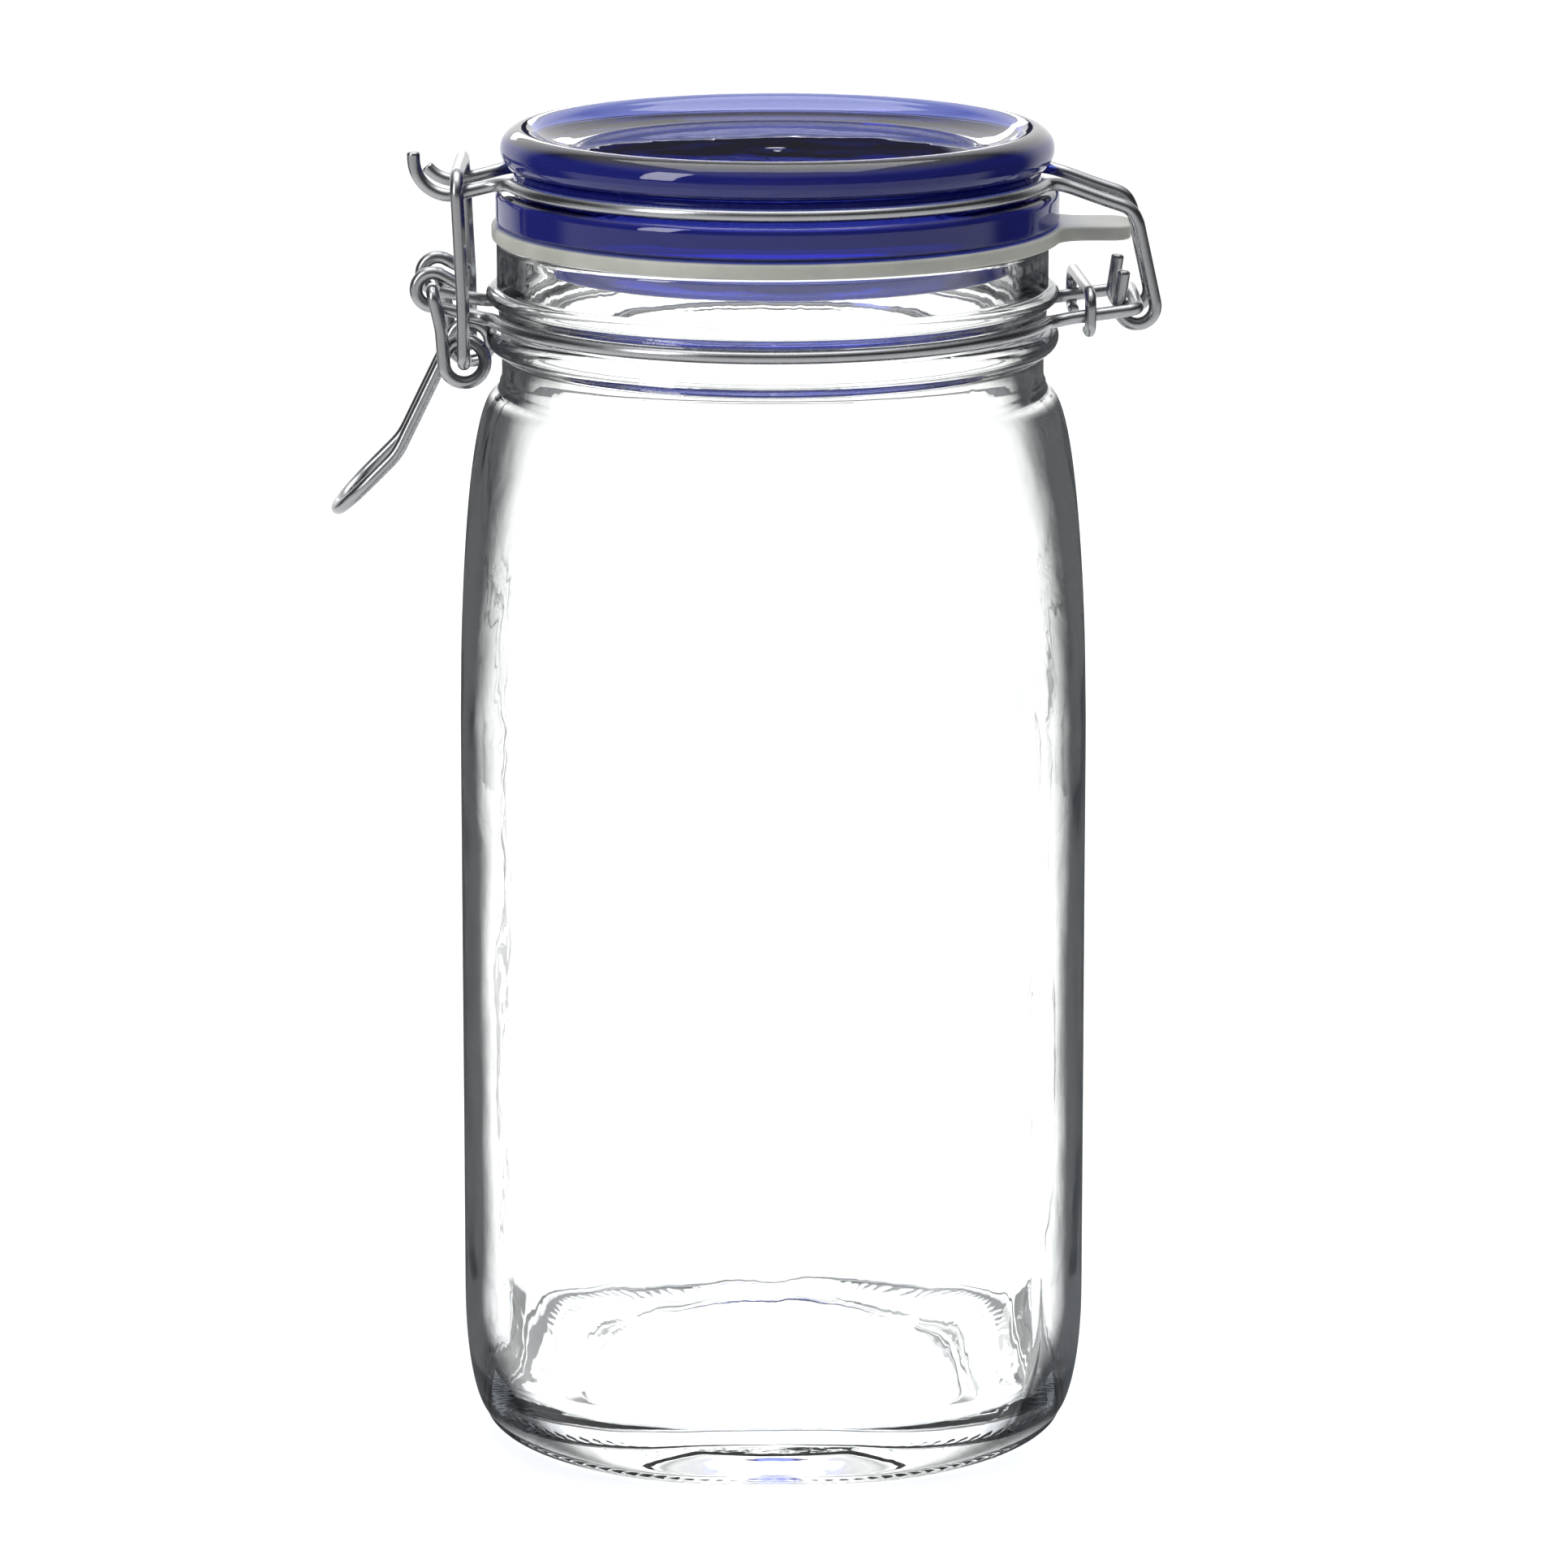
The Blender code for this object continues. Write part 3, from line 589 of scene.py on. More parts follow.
def make_gasket(rubber):
    outer = gasket_outline()
    count = len(outer)
    inward = []
    for index in range(count):
        before, after = outer[index - 1], outer[(index + 1) % count]
        along = Vector((after[0] - before[0], after[1] - before[1])).normalized()
        inward.append(Vector((-along.y, along.x)))
    top = GASKET_TOP_Z - GASKET_EDGE
    bottom = GASKET_BOTTOM_Z + GASKET_EDGE
    arc = [(math.cos(math.radians(angle)), math.sin(math.radians(angle))) for angle in EDGE_ANGLES]
    edge = [(1.0 - across, bottom - GASKET_EDGE * up) for across, up in reversed(arc)]
    edge += [(1.0 - across, top + GASKET_EDGE * up) for across, up in arc]
    points = []
    for inset, z in edge:
        for (x, y), lead in zip(outer, inward):
            points.append((x + lead.x * inset * GASKET_EDGE, y + lead.y * inset * GASKET_EDGE, z))
    for inset, z in reversed(edge):
        radius = GASKET_INNER + GASKET_EDGE * inset
        for x, y in outer:
            angle = math.atan2(y, x - LID_X)
            points.append((LID_X + radius * math.cos(angle), radius * math.sin(angle), z))
    loops = 2 * len(edge)
    faces = []
    for loop in range(loops):
        here, there = loop * count, (loop + 1) % loops * count
        for step in range(count):
            after = (step + 1) % count
            faces.append((here + step, here + after, there + after, there + step))
    piece = mesh_object("gasket_ring", points, faces)
    finish_piece(piece, "gasket", "lid", rubber)


# ---------------------------------------------------------------- wires


def bend_at(before, corner, after, radius, step=ARC_STEP):
    """Points along a bend of the given radius at a corner."""
    inward = (before - corner).normalized()
    outward = (after - corner).normalized()
    opening = inward.angle(outward)
    if radius == 0.0 or opening > math.radians(179.0):
        return [corner]
    cut = radius / math.tan(opening / 2.0)
    centre = corner + (inward + outward).normalized() * radius / math.sin(opening / 2.0)
    start = corner + inward * cut - centre
    end = corner + outward * cut - centre
    turned = start.angle(end)
    steps = max(1, math.ceil(math.degrees(turned) / step))
    points = []
    for index in range(steps + 1):
        share = index / steps
        first = math.sin((1.0 - share) * turned) / math.sin(turned)
        second = math.sin(share * turned) / math.sin(turned)
        points.append(centre + start * first + end * second)
    return points


def bent_path(corners):
    """A wire's centre line through corners (place, bend radius)."""
    places = [Vector(place) for place, _ in corners]
    points = [places[0]]
    for index in range(1, len(corners) - 1):
        points += bend_at(places[index - 1], places[index], places[index + 1], corners[index][1])
    return points + [places[-1]]


def eased(path):
    """The centre line with its kinks smoothed and evenly close points."""
    line = [path[0]]
    for place in path[1:]:
        gap = (place - line[-1]).length
        if gap < CLOSEST_STEP:
            continue
        pieces = max(1, math.ceil(gap / WIRE_STEP))
        last = line[-1]
        line += [last.lerp(place, piece / pieces) for piece in range(1, pieces + 1)]
    for _ in range(2):
        inner = [(a + b * 2.0 + c) / 4.0 for a, b, c in zip(line, line[1:], line[2:])]
        line = [line[0]] + inner + [line[-1]]
    return line


def tube(name, path, radius):
    """A round wire along a path, with its cut ends slightly rounded and a UV map along it."""
    line = eased(path)
    tangents = []
    for index in range(len(line)):
        before, after = line[max(0, index - 1)], line[min(len(line) - 1, index + 1)]
        tangents.append((after - before).normalized())
    side = tangents[0].orthogonal().normalized()
    rings = []
    travelled = 0.0
    for index, place in enumerate(line):
        side = (side - tangents[index] * side.dot(tangents[index])).normalized()
        other = tangents[index].cross(side)
        if index:
            travelled += (place - line[index - 1]).length
        rings.append((place, side.copy(), other, radius, travelled))
    first, last = rings[0], rings[-1]
    cut = CUT_ROUND * radius
    rings[0] = (first[0] + tangents[0] * cut, *first[1:])
    rings[-1] = (last[0] - tangents[-1] * cut, *last[1:])
    rings.insert(0, (first[0], first[1], first[2], radius - cut, 0.0))
    rings.append((last[0], last[1], last[2], radius - cut, travelled))
    points = [first[0]]
    for place, across, up, size, _ in rings:
        for corner in range(WIRE_SIDES):
            angle = math.tau * corner / WIRE_SIDES
            points.append(place + across * size * math.cos(angle) + up * size * math.sin(angle))
    points.append(last[0])
    faces = [(0, 1 + (corner + 1) % WIRE_SIDES, 1 + corner) for corner in range(WIRE_SIDES)]
    lengths = [((0.0, 0.5),) * 3 for _ in faces]
    for index in range(len(rings) - 1):
        low = 1 + index * WIRE_SIDES
        high = low + WIRE_SIDES
        for corner in range(WIRE_SIDES):
            after = (corner + 1) % WIRE_SIDES
            faces.append((low + corner, low + after, high + after, high + corner))
            here, there = rings[index][4], rings[index + 1][4]
            left, right = corner / WIRE_SIDES, (corner + 1) / WIRE_SIDES
            lengths.append(((here, left), (here, right), (there, right), (there, left)))
    end = len(points) - 1
    low = end - WIRE_SIDES
    for corner in range(WIRE_SIDES):
        faces.append((low + corner, low + (corner + 1) % WIRE_SIDES, end))
        lengths.append(((travelled, 0.5),) * 3)
    piece = mesh_object(name, points, faces, sharp=WIRE_CREASE)
    layer = piece.data.uv_layers.new(name="along")
    corners = [corner for face in lengths for corner in face]
    places = [value for along, across in corners for value in (along * ALONG_SCALE, across)]
    layer.data.foreach_set("uv", places)
    return piece


def flip_y(path):
    return [Vector((place.x, -place.y, place.z)) for place in path]


def branch(ring_radius, centre_x, arm_y, side):
    """Where an arm leaves a ring: (ring angle, arm start x), side +1 at the hinge, -1 at the latch."""
    bend_y = arm_y + BRANCH_BEND
    bend_x = math.sqrt((ring_radius + BRANCH_BEND) ** 2 - bend_y**2)
    return math.degrees(math.atan2(bend_y, bend_x)), centre_x + side * bend_x


def branch_bend(ring_radius, centre_x, arm_y, side, ring_z, arm_z):
    """The outward bend from ring to arm on the front side, ring end first."""
    angle, start_x = branch(ring_radius, centre_x, arm_y, side)
    points = []
    for across, along in turn(0.0, 0.0, BRANCH_BEND, BRANCH_BEND, angle, 90.0):
        turned = math.degrees(math.atan2(along, across)) - angle
        change = smooth(turned / (90.0 - angle) - BEND_LEVEL)
        x = start_x - side * across
        points.append(Vector((x, along - arm_y - BRANCH_BEND, ring_z + (arm_z - ring_z) * change)))
    return points


def half_ring(radius, centre_x, z, latch_y, hinge_y):
    """The front half of a wire ring from the latch side to the hinge side, between its branches."""
    first = 180.0 + branch(radius, centre_x, latch_y, -1)[0]
    last = 360.0 - branch(radius, centre_x, hinge_y, 1)[0]
    return [Vector((x, y, z)) for x, y in turn(centre_x, 0.0, radius, radius, first, last, RING_STEP)[1:-1]]


def neck_eye():
    """The front eye at the latch side, from the wire's cut end round to the start of its arm."""
    centre = LEVER_PIVOT
    tail = turn(centre.x, centre.z, EYE_RADIUS, EYE_RADIUS, EYE_START, 270.0)
    end = Vector((centre.x, -NECK_EYE_Y, centre.z)) + EYE_END
    return [end] + [Vector((x, -NECK_EYE_Y, z)) for x, z in tail]


def neck_wire_path():
    arm_z = LEVER_PIVOT.z - EYE_RADIUS
    front = neck_eye()
    latch = branch_bend(NECK_RING_RADIUS, 0.0, NECK_EYE_Y, -1, NECK_RING_Z, arm_z - EYE_ARM_DROP)
    front += reversed(latch)
    front += half_ring(NECK_RING_RADIUS, 0.0, NECK_RING_Z, NECK_EYE_Y, HINGE_ARM_Y)
    root_z = HINGE_ARM_Z - HINGE_ARM_DROP
    front += branch_bend(NECK_RING_RADIUS, 0.0, HINGE_ARM_Y, 1, NECK_RING_Z, root_z)
    knee = Vector((HINGE_CORNER_X, -HINGE_ARM_Y, HINGE_ARM_Z))
    corner = Vector((HINGE.x, -HINGE_ARM_Y, HINGE.z))
    middle = Vector((HINGE.x, 0.0, HINGE.z))
    front += bend_at(knee, corner, middle, HINGE_BEND)
    return front + list(reversed(flip_y(front)))


def horn(turned, rise):
    """The upturned end of a lid wire at the latch side, from its cut end to the low point."""
    centre_z = HORN_LOW_Z + HORN_RADIUS
    curve = turn(HORN_X, centre_z, HORN_RADIUS, HORN_RADIUS, 270.0 - turned, 270.0)
    angle = math.radians(270.0 - turned)
    tip = (curve[0][0] + rise * math.sin(angle), curve[0][1] - rise * math.cos(angle))
    return [Vector((x, -LID_ARM_Y, z)) for x, z in [tip] + curve]


def lid_hook():
    """The lid wire's end at the hinge side: down from the arm and round the hinge crossbar."""
    fall = math.radians(HOOK_START)
    rise = math.radians(HOOK_END + 360.0)
    y = -LID_ARM_Y
    down_x = HINGE.x + HOOK_RADIUS * math.cos(fall)
    down_z = HINGE.z + HOOK_RADIUS * math.sin(fall)
    drop = LID_ARM_FALL_Z - down_z
    path = bent_path([
        ((LID_ARM_SLOPE_X, y, LID_ARM_SLOPE_Z), 0.0),
        ((LID_ARM_BEND_X, y, LID_ARM_BEND_Z), LID_ARM_KNEE_BEND),
        ((down_x - drop * math.tan(fall), y, LID_ARM_FALL_Z), LID_ARM_FALL_BEND),
        ((down_x, y, down_z), 0.0),
    ])
    hook = turn(HINGE.x, HINGE.z, HOOK_RADIUS, HOOK_RADIUS, HOOK_START, HOOK_END)
    path += [Vector((x, y, z)) for x, z in hook[1:]]
    end_x = path[-1].x + HOOK_END_LENGTH * math.sin(rise)
    end_z = path[-1].z - HOOK_END_LENGTH * math.cos(rise)
    return path + [Vector((end_x, y, end_z))]


def lid_wire_path(turned, rise):
    path = horn(turned, rise)
    root_z = HORN_LOW_Z + HORN_ROOT_RISE
    latch = branch_bend(LID_RING_RADIUS, LID_X, LID_ARM_Y, -1, LID_RING_Z, root_z)
    path += reversed(latch)
    path += half_ring(LID_RING_RADIUS, LID_X, LID_RING_Z, LID_ARM_Y, LID_ARM_Y)
    path += branch_bend(LID_RING_RADIUS, LID_X, LID_ARM_Y, 1, LID_RING_Z, LID_ARM_ROOT_Z)
    return path + lid_hook()


def clip_path():
    """A staple over the neck wire's two hinge arms, its legs turned in under them."""
    half = [
        (Vector((0.0, 0.0, CLIP_TOP_Z)), 0.0),
        (Vector((0.0, -CLIP_LEG_Y, CLIP_TOP_Z)), CLIP_BEND),
        (Vector((0.0, -CLIP_LEG_Y, CLIP_FOOT_Z)), CLIP_FOOT_BEND),
        (Vector((0.0, -CLIP_END_Y, CLIP_FOOT_Z)), 0.0),
    ]
    front = bent_path(half)
    path = list(reversed(front)) + flip_y(front)[1:]
    skew = math.radians(CLIP_SKEW)
    return [Vector((CLIP_X - p.y * math.sin(skew), p.y * math.cos(skew), p.z)) for p in path]


def latch_path():
    """The loop that hooks over the lid wires: a top bar, two strands and two pins turned in."""
    pin = Vector((LATCH_PIVOT.x, -LATCH_Y, LATCH_PIVOT.z))
    half = [
        (Vector((LATCH_TOP.x, 0.0, LATCH_TOP.z)), 0.0),
        (Vector((LATCH_TOP.x, -LATCH_Y, LATCH_TOP.z)), LATCH_TOP_BEND),
        (LATCH_WAIST, LATCH_WAIST_BEND),
        (pin, LATCH_PIN_BEND),
        (Vector((pin.x, -LATCH_PIN_END_Y, pin.z)), 0.0),
    ]
    front = bent_path(half)
    return list(reversed(front)) + flip_y(front)[1:]


def lever_path():
    """Two pins, two legs, two coils and the handle between them."""
    pivot = LEVER_PIVOT
    leg = [
        (Vector((pivot.x, -PIN_END_Y, pivot.z)), 0.0),
        (Vector((pivot.x, -LEVER_LEG_Y, pivot.z)), LEVER_PIN_BEND),
        (Vector((LEVER_KNEE_X, -LEVER_LEG_Y, LEVER_KNEE_Z)), LEVER_KNEE_BEND),
        (Vector((LATCH_PIVOT.x - COIL_RADIUS, -LEVER_LEG_Y, LATCH_PIVOT.z)), 0.0),
    ]
    turns = turn(LATCH_PIVOT.x, LATCH_PIVOT.z, COIL_RADIUS, COIL_RADIUS, COIL_START, COIL_END)
    coil = []
    for index, (x, z) in enumerate(turns):
        shift = smooth(index / (len(turns) - 1))
        coil.append(Vector((x, -LEVER_LEG_Y + (LEVER_LEG_Y - HANDLE_Y) * shift, z)))
    handle = bent_path([(HANDLE_TOP, 0.0), (HANDLE_KNEE, HANDLE_BEND), (HANDLE_END, 0.0)])
    lead = (HANDLE_END - HANDLE_KNEE).normalized()
    for across, along in turn(0.0, 0.0, HANDLE_Y, HANDLE_Y, HANDLE_END_START, 0.0):
        x, z = HANDLE_END.x + lead.x * across, HANDLE_END.z + lead.z * across
        handle.append(Vector((x, -along, z)))
    front = bent_path(leg) + coil[1:] + handle
    return front + list(reversed(flip_y(front)))[1:]


def make_wires(steel):
    front_lid = lid_wire_path(FRONT_HORN_TURN, FRONT_HORN_RISE)
    rear_lid = flip_y(lid_wire_path(REAR_HORN_TURN, REAR_HORN_RISE))
    wires = [
        ("neck_ring_wire", neck_wire_path(), WIRE, "neck_wire", "jar"),
        ("hinge_clip_wire", clip_path(), CLIP_WIRE, "tension_clip", "jar"),
        ("front_lid_wire", front_lid, WIRE, "lid_wire_front", "lid"),
        ("rear_lid_wire", rear_lid, WIRE, "lid_wire_rear", "lid"),
        ("lever_wire", lever_path(), WIRE, "lever", "lever"),
        ("latch_wire", latch_path(), WIRE, "latch_loop", "latch"),
    ]
    for name, path, radius, node, body in wires:
        piece = tube(name, path, radius)
        finish_piece(piece, node, body, steel)


# ---------------------------------------------------------------- materials


def new_material(name):
    """A material whose node tree has only its output and a Principled shader."""
    made = bpy.data.materials.new(name)
    made.use_nodes = True
    nodes = made.node_tree.nodes
    return made, nodes, made.node_tree.links, nodes["Principled BSDF"], nodes["Material Output"]


def textured(nodes, kind, **values):
    node = nodes.new(kind)
    for key, value in values.items():
        node.inputs[key.replace("_", " ")].default_value = value
    return node


def cloudy(nodes, links, place, scale, detail, roughness):
    """Noise at a place, from 0 to 1."""
    noisy = textured(nodes, "ShaderNodeTexNoise", Scale=scale, Detail=detail, Roughness=roughness)
    links.new(place, noisy.inputs["Vector"])
    return noisy.outputs["Fac"]


def calculated(nodes, links, operation, *terms):
    """One operation on terms that are sockets or plain numbers."""
    node = nodes.new("ShaderNodeMath")
    node.operation = operation
    for socket, term in zip(node.inputs, terms):
        if isinstance(term, float):
            socket.default_value = term
        else:
            links.new(term, socket)
    return node.outputs["Value"]


def ranged(nodes, links, value, source, target, kind="SMOOTHSTEP"):
    """A value mapped from its source range (start, end) to a target range (start, end)."""
    node = nodes.new("ShaderNodeMapRange")
    node.interpolation_type = kind
    for name, number in zip(("From Min", "From Max", "To Min", "To Max"), (*source, *target)):
        node.inputs[name].default_value = number
    links.new(value, node.inputs["Value"])
    return node.outputs["Result"]


def tinted(nodes, links, value, dark, light):
    """A colour between two stops (position, colour)."""
    ramp = nodes.new("ShaderNodeValToRGB")
    for element, (position, colour) in zip(ramp.color_ramp.elements, (dark, light)):
        element.position = position
        element.color = (*colour, 1.0)
    links.new(value, ramp.inputs["Fac"])
    return ramp.outputs["Color"]


def split_up(nodes, links, vector):
    """The X, Y and Z of a vector."""
    split = nodes.new("ShaderNodeSeparateXYZ")
    links.new(vector, split.inputs["Vector"])
    return split.outputs


def mixed(nodes, links, share, first, second):
    """A shader that is first, but second by the given share."""
    mix = nodes.new("ShaderNodeMixShader")
    links.new(share, mix.inputs["Fac"])
    links.new(first, mix.inputs[1])
    links.new(second, mix.inputs[2])
    return mix.outputs["Shader"]


def see_through(nodes, colour):
    clear = nodes.new("ShaderNodeBsdfTransparent")
    clear.inputs["Color"].default_value = (*colour, 1.0)
    return clear.outputs["BSDF"]


def object_coordinates(nodes, links, scale):
    """Object coordinates, scaled, for textures that stay on the piece as it moves."""
    coordinates = nodes.new("ShaderNodeTexCoord")
    mapping = nodes.new("ShaderNodeMapping")
    mapping.inputs["Scale"].default_value = scale
    links.new(coordinates.outputs["Object"], mapping.inputs["Vector"])
    return mapping.outputs["Vector"]


def bump_from(nodes, links, height, distance, normal):
    bump = textured(nodes, "ShaderNodeBump", Strength=1.0, Distance=distance)
    links.new(height, bump.inputs["Height"])
    links.new(bump.outputs["Normal"], normal)


def let_light_through(nodes, links, surface, output, colour):
    """Lamps shine through the glass instead of leaving it a black shadow."""
    path = nodes.new("ShaderNodeLightPath")
    lit = mixed(nodes, links, path.outputs["Is Shadow Ray"], surface, see_through(nodes, colour))
    links.new(lit, output.inputs["Surface"])


def upright_share(nodes, links, most):
    """How upright the surface is: most on a wall, nothing on a level face."""
    geometry = nodes.new("ShaderNodeNewGeometry")
    normal = split_up(nodes, links, geometry.outputs["Normal"])
    lean = calculated(nodes, links, "ABSOLUTE", normal["Z"])
    return ranged(nodes, links, lean, (UPRIGHT_LEAN, LEVEL_LEAN), (most, 0.0))


def painted_edge_shade(nodes, links, uneven):
    """How much painted shade an upright wall's edge gets by the angle it is seen at: it stands in for the
    dark surroundings seen through the glass near its outline.
    """
    weight = textured(nodes, "ShaderNodeLayerWeight", Blend=0.5)
    wall = nodes.new("ShaderNodeUVMap")
    wall.uv_map = "wall"
    across = split_up(nodes, links, wall.outputs["UV"])
    shifted = calculated(nodes, links, "MULTIPLY_ADD", uneven, EDGE_SHADE_UNEVEN, weight.outputs["Facing"])
    steepness = calculated(nodes, links, "MULTIPLY_ADD", across["Y"], -FLAT_SHADE_SHIFT, shifted)
    middle = EDGE_SHADE_UNEVEN / 2.0
    steep = ranged(nodes, links, steepness, (EDGE_SHADE_START + middle, EDGE_SHADE_END + middle), (0.0, 1.0))
    outside = calculated(nodes, links, "SUBTRACT", 1.0, across["X"])
    # dark is the painted edge shade on upright walls
    dark = calculated(nodes, links, "MULTIPLY", upright_share(nodes, links, EDGE_SHADE_MOST), steep)
    return calculated(nodes, links, "MULTIPLY", dark, outside)


def clear_glass():
    """Soda-lime glass with faint moulding ripple and painted shade on its edges, set by the angle they are
    seen at.
    """
    made, nodes, links, shader, output = new_material("clear_glass")
    shader.inputs["Base Color"].default_value = (0.985, 0.995, 0.99, 1.0)
    shader.inputs["Transmission Weight"].default_value = 1.0
    shader.inputs["IOR"].default_value = 1.51
    shader.inputs["Roughness"].default_value = 0.0
    place = object_coordinates(nodes, links, (1.0, 1.0, 0.35))
    ripple = cloudy(nodes, links, place, 120.0, 3.0, 0.5)
    bump_from(nodes, links, ripple, CLEAR_RIPPLE, shader.inputs["Normal"])
    edge = painted_edge_shade(nodes, links, ripple)
    # Painted shade: the edges are mixed toward a dark see-through tint
    surface = mixed(nodes, links, edge, shader.outputs["BSDF"], see_through(nodes, EDGE_SHADE_TINT))
    let_light_through(nodes, links, surface, output, (0.97, 0.98, 0.98))
    return made


def cobalt_glass():
    """Cobalt blue glass, whose colour deepens with its thickness, with painted blue light on its upright
    walls from a diffuse share.
    """
    made, nodes, links, shader, output = new_material("cobalt_glass")
    shader.inputs["Base Color"].default_value = (0.55, 0.64, 0.8, 1.0)
    shader.inputs["Transmission Weight"].default_value = 1.0
    shader.inputs["IOR"].default_value = 1.52
    shader.inputs["Roughness"].default_value = 0.0
    depth = textured(nodes, "ShaderNodeVolumeAbsorption", Density=COBALT_DENSITY)
    depth.inputs["Color"].default_value = (*COBALT_DEPTH, 1.0)
    links.new(depth.outputs["Volume"], output.inputs["Volume"])
    place = object_coordinates(nodes, links, (1.0, 1.0, 1.0))
    ripple = cloudy(nodes, links, place, 110.0, 2.0, 0.5)
    bump_from(nodes, links, ripple, COBALT_RIPPLE, shader.inputs["Normal"])
    # Painted light: a blue diffuse share on upright walls stands in for light carried through the lid's
    # glass
    blue_fill = nodes.new("ShaderNodeBsdfDiffuse")
    blue_fill.inputs["Color"].default_value = (*BLUE_FILL_COLOUR, 1.0)
    share = upright_share(nodes, links, BLUE_FILL_MOST)
    surface = mixed(nodes, links, share, shader.outputs["BSDF"], blue_fill.outputs["BSDF"])
    let_light_through(nodes, links, surface, output, (0.25, 0.32, 0.85))
    return made


def gasket_rubber():
    """Off-white rubber: satin, slightly translucent, with a fine moulded grain."""
    made, nodes, links, shader, _ = new_material("gasket_rubber")
    shader.inputs["Subsurface Weight"].default_value = 0.25
    shader.inputs["Subsurface Radius"].default_value = (1.0, 0.9, 0.7)
    shader.inputs["Subsurface Scale"].default_value = 0.0012
    place = object_coordinates(nodes, links, (1.0, 1.0, 1.0))
    cloud = cloudy(nodes, links, place, 90.0, 4.0, 0.6)
    tint = tinted(nodes, links, cloud, (0.3, (0.31, 0.32, 0.285)), (0.75, (0.4, 0.405, 0.365)))
    links.new(tint, shader.inputs["Base Color"])
    worn = ranged(nodes, links, cloud, (0.0, 1.0), (0.42, 0.62), "LINEAR")
    links.new(worn, shader.inputs["Roughness"])
    grain = cloudy(nodes, links, place, 2600.0, 2.0, 0.5)
    bump_from(nodes, links, grain, RUBBER_GRAIN, shader.inputs["Normal"])
    return made


def plated_steel():
    """Zinc-plated drawn wire: long faint draw lines, small cloudy spots in the plating."""
    made, nodes, links, shader, _ = new_material("plated_steel")
    shader.inputs["Metallic"].default_value = 1.0
    along = nodes.new("ShaderNodeUVMap")
    along.uv_map = "along"
    stretch = nodes.new("ShaderNodeMapping")
    stretch.inputs["Scale"].default_value = (3.0, 24.0, 1.0)
    links.new(along.outputs["UV"], stretch.inputs["Vector"])
    lines = cloudy(nodes, links, stretch.outputs["Vector"], 1.0, 3.0, 0.6)
    place = object_coordinates(nodes, links, (1.0, 1.0, 1.0))
    spots = cloudy(nodes, links, place, 420.0, 3.0, 0.65)
    tint = tinted(nodes, links, spots, (0.35, (0.285, 0.29, 0.3)), (0.7, (0.31, 0.316, 0.326)))
    links.new(tint, shader.inputs["Base Color"])
    polish = ranged(nodes, links, spots, (0.0, 1.0), (0.24, 0.3), "LINEAR")
    links.new(polish, shader.inputs["Roughness"])
    bump_from(nodes, links, lines, DRAW_LINES, shader.inputs["Normal"])
    return made


# ---------------------------------------------------------------- studio


def make_world():
    """White behind, above and below the horizon, dark at both sides, with a small dark card behind.

    The dark sides give clear glass its dark edges, and the card darkens the lid's dish.
    """
    world = bpy.data.worlds.new("studio")
    bpy.context.scene.world = world
    world.use_nodes = True
    nodes, links = world.node_tree.nodes, world.node_tree.links
    background = nodes["Background"]
    coordinates = nodes.new("ShaderNodeTexCoord")
    direction = split_up(nodes, links, coordinates.outputs["Generated"])

    def zone(axis, start, end, low, high):
        """From low to high as a direction's X, Y or Z goes from start to end."""
        return ranged(nodes, links, direction[axis], (start, end), (low, high))

    def brighter(first, second):
        return calculated(nodes, links, "MAXIMUM", first, second)

    def dimmer(first, second):
        return calculated(nodes, links, "MULTIPLY", first, second)

    behind = zone("Y", 0.5, 0.8, 0.0, 1.25)
    beside_card = brighter(zone("X", -0.04, -0.025, 1.0, 0.0), zone("X", 0.025, 0.04, 0.0, 1.0))
    past_card = brighter(beside_card, zone("Z", 0.165, 0.175, 0.0, 1.0))
    backdrop = dimmer(behind, brighter(past_card, zone("Z", 0.03, 0.06, 1.0, 0.0)))
    above = zone("Z", 0.5, 0.85, 0.04, 1.0)
    ahead = zone("Y", -0.85, -0.97, 0.04, 0.16)
    table = dimmer(zone("Y", 0.0, 0.25, 1.0, 0.0), zone("Z", -0.02, 0.0, 1.0, 0.0))
    studio = brighter(brighter(brighter(backdrop, above), ahead), table)
    path = nodes.new("ShaderNodeLightPath")
    links.new(brighter(studio, path.outputs["Is Camera Ray"]), background.inputs["Strength"])
    background.inputs["Color"].default_value = (1.0, 1.0, 1.0, 1.0)


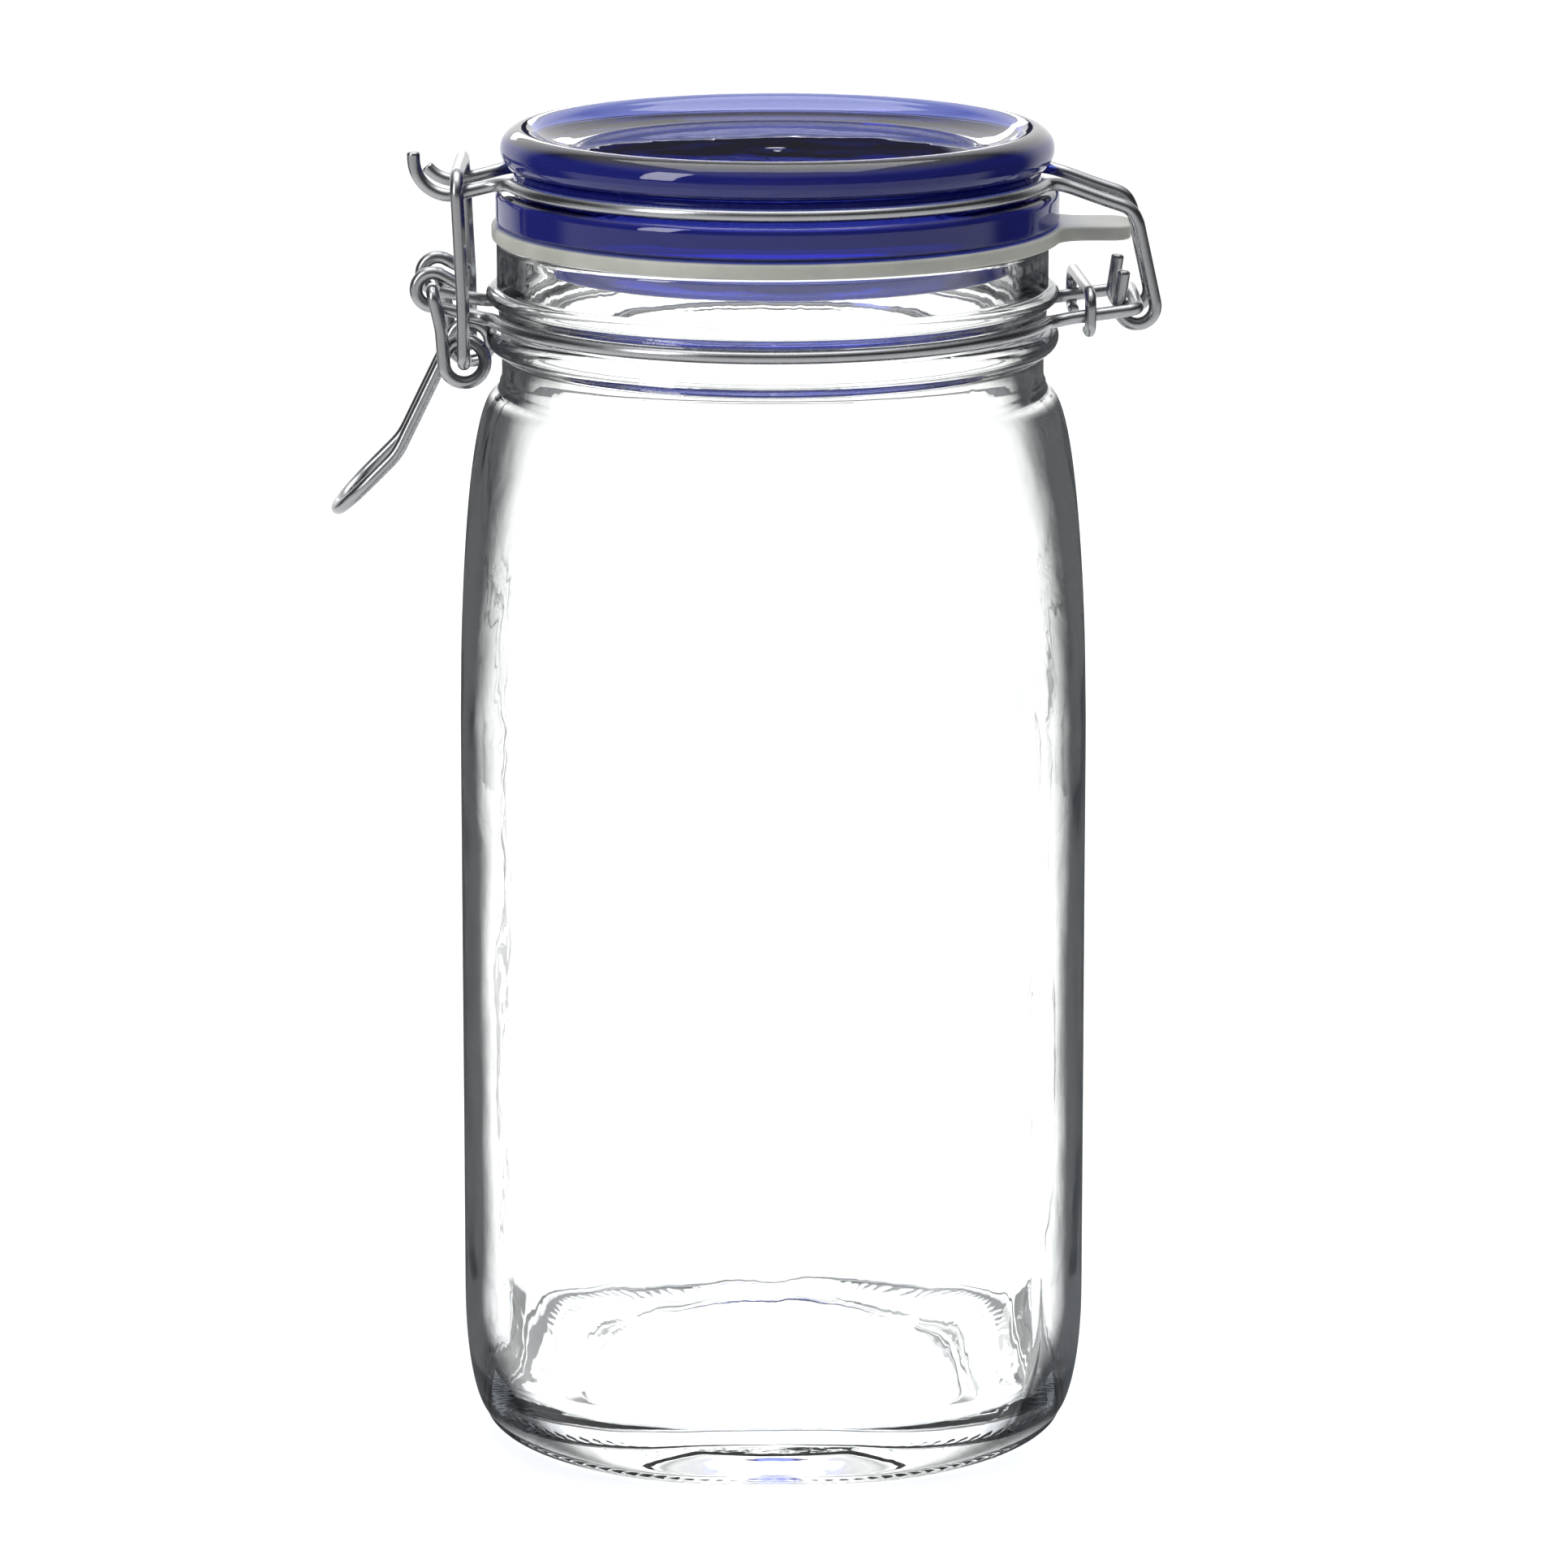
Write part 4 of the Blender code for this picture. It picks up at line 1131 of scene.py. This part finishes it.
def panel_light(name, place, aim, width, height, power):
    data = bpy.data.lights.new(name, "AREA")
    data.shape = "RECTANGLE"
    data.size = width
    data.size_y = height
    data.energy = power
    lamp = bpy.data.objects.new(name, data)
    lamp.location = place
    lamp.rotation_mode = "QUATERNION"
    lamp.rotation_quaternion = (Vector(aim) - Vector(place)).to_track_quat("-Z", "Y")
    lamp.visible_camera = False
    bpy.context.scene.collection.objects.link(lamp)


def make_floor():
    """A plain white round table top."""
    made, _, _, shader, _ = new_material("white_floor")
    shader.inputs["Base Color"].default_value = (0.92, 0.92, 0.92, 1.0)
    shader.inputs["Roughness"].default_value = 0.9
    shader.inputs["Specular IOR Level"].default_value = 0.0
    points = [(0.0, 0.0, 0.0)]
    for side in range(FLOOR_SIDES):
        angle = math.tau * side / FLOOR_SIDES
        points.append((FLOOR_RADIUS * math.cos(angle), FLOOR_RADIUS * math.sin(angle), 0.0))
    faces = [(0, 1 + side, 1 + (side + 1) % FLOOR_SIDES) for side in range(FLOOR_SIDES)]
    floor = mesh_object("floor", points, faces)
    floor.location.z = -FLOOR_DROP * MM
    floor.data.materials.append(made)


def make_camera():
    aside = math.radians(CAMERA_TURN)
    data = bpy.data.cameras.new("camera")
    data.lens = CAMERA_LENS
    data.sensor_width = CAMERA_SENSOR
    camera = bpy.data.objects.new("camera", data)
    x = CAMERA_DISTANCE * math.sin(aside) + CAMERA_ASIDE * math.cos(aside) + AXIS_X
    y = -CAMERA_DISTANCE * math.cos(aside) + CAMERA_ASIDE * math.sin(aside)
    camera.location = (x * MM, y * MM, CAMERA_HEIGHT * MM)
    camera.rotation_euler = (math.radians(90.0 - CAMERA_PITCH), 0.0, aside)
    bpy.context.scene.collection.objects.link(camera)
    bpy.context.scene.camera = camera


def main():
    bpy.context.scene.view_settings.view_transform = "Standard"
    make_jar(clear_glass())
    make_lid(cobalt_glass())
    make_gasket(gasket_rubber())
    make_wires(plated_steel())
    make_floor()
    make_world()
    for panel in PANELS:
        panel_light(*panel)
    make_camera()


main()
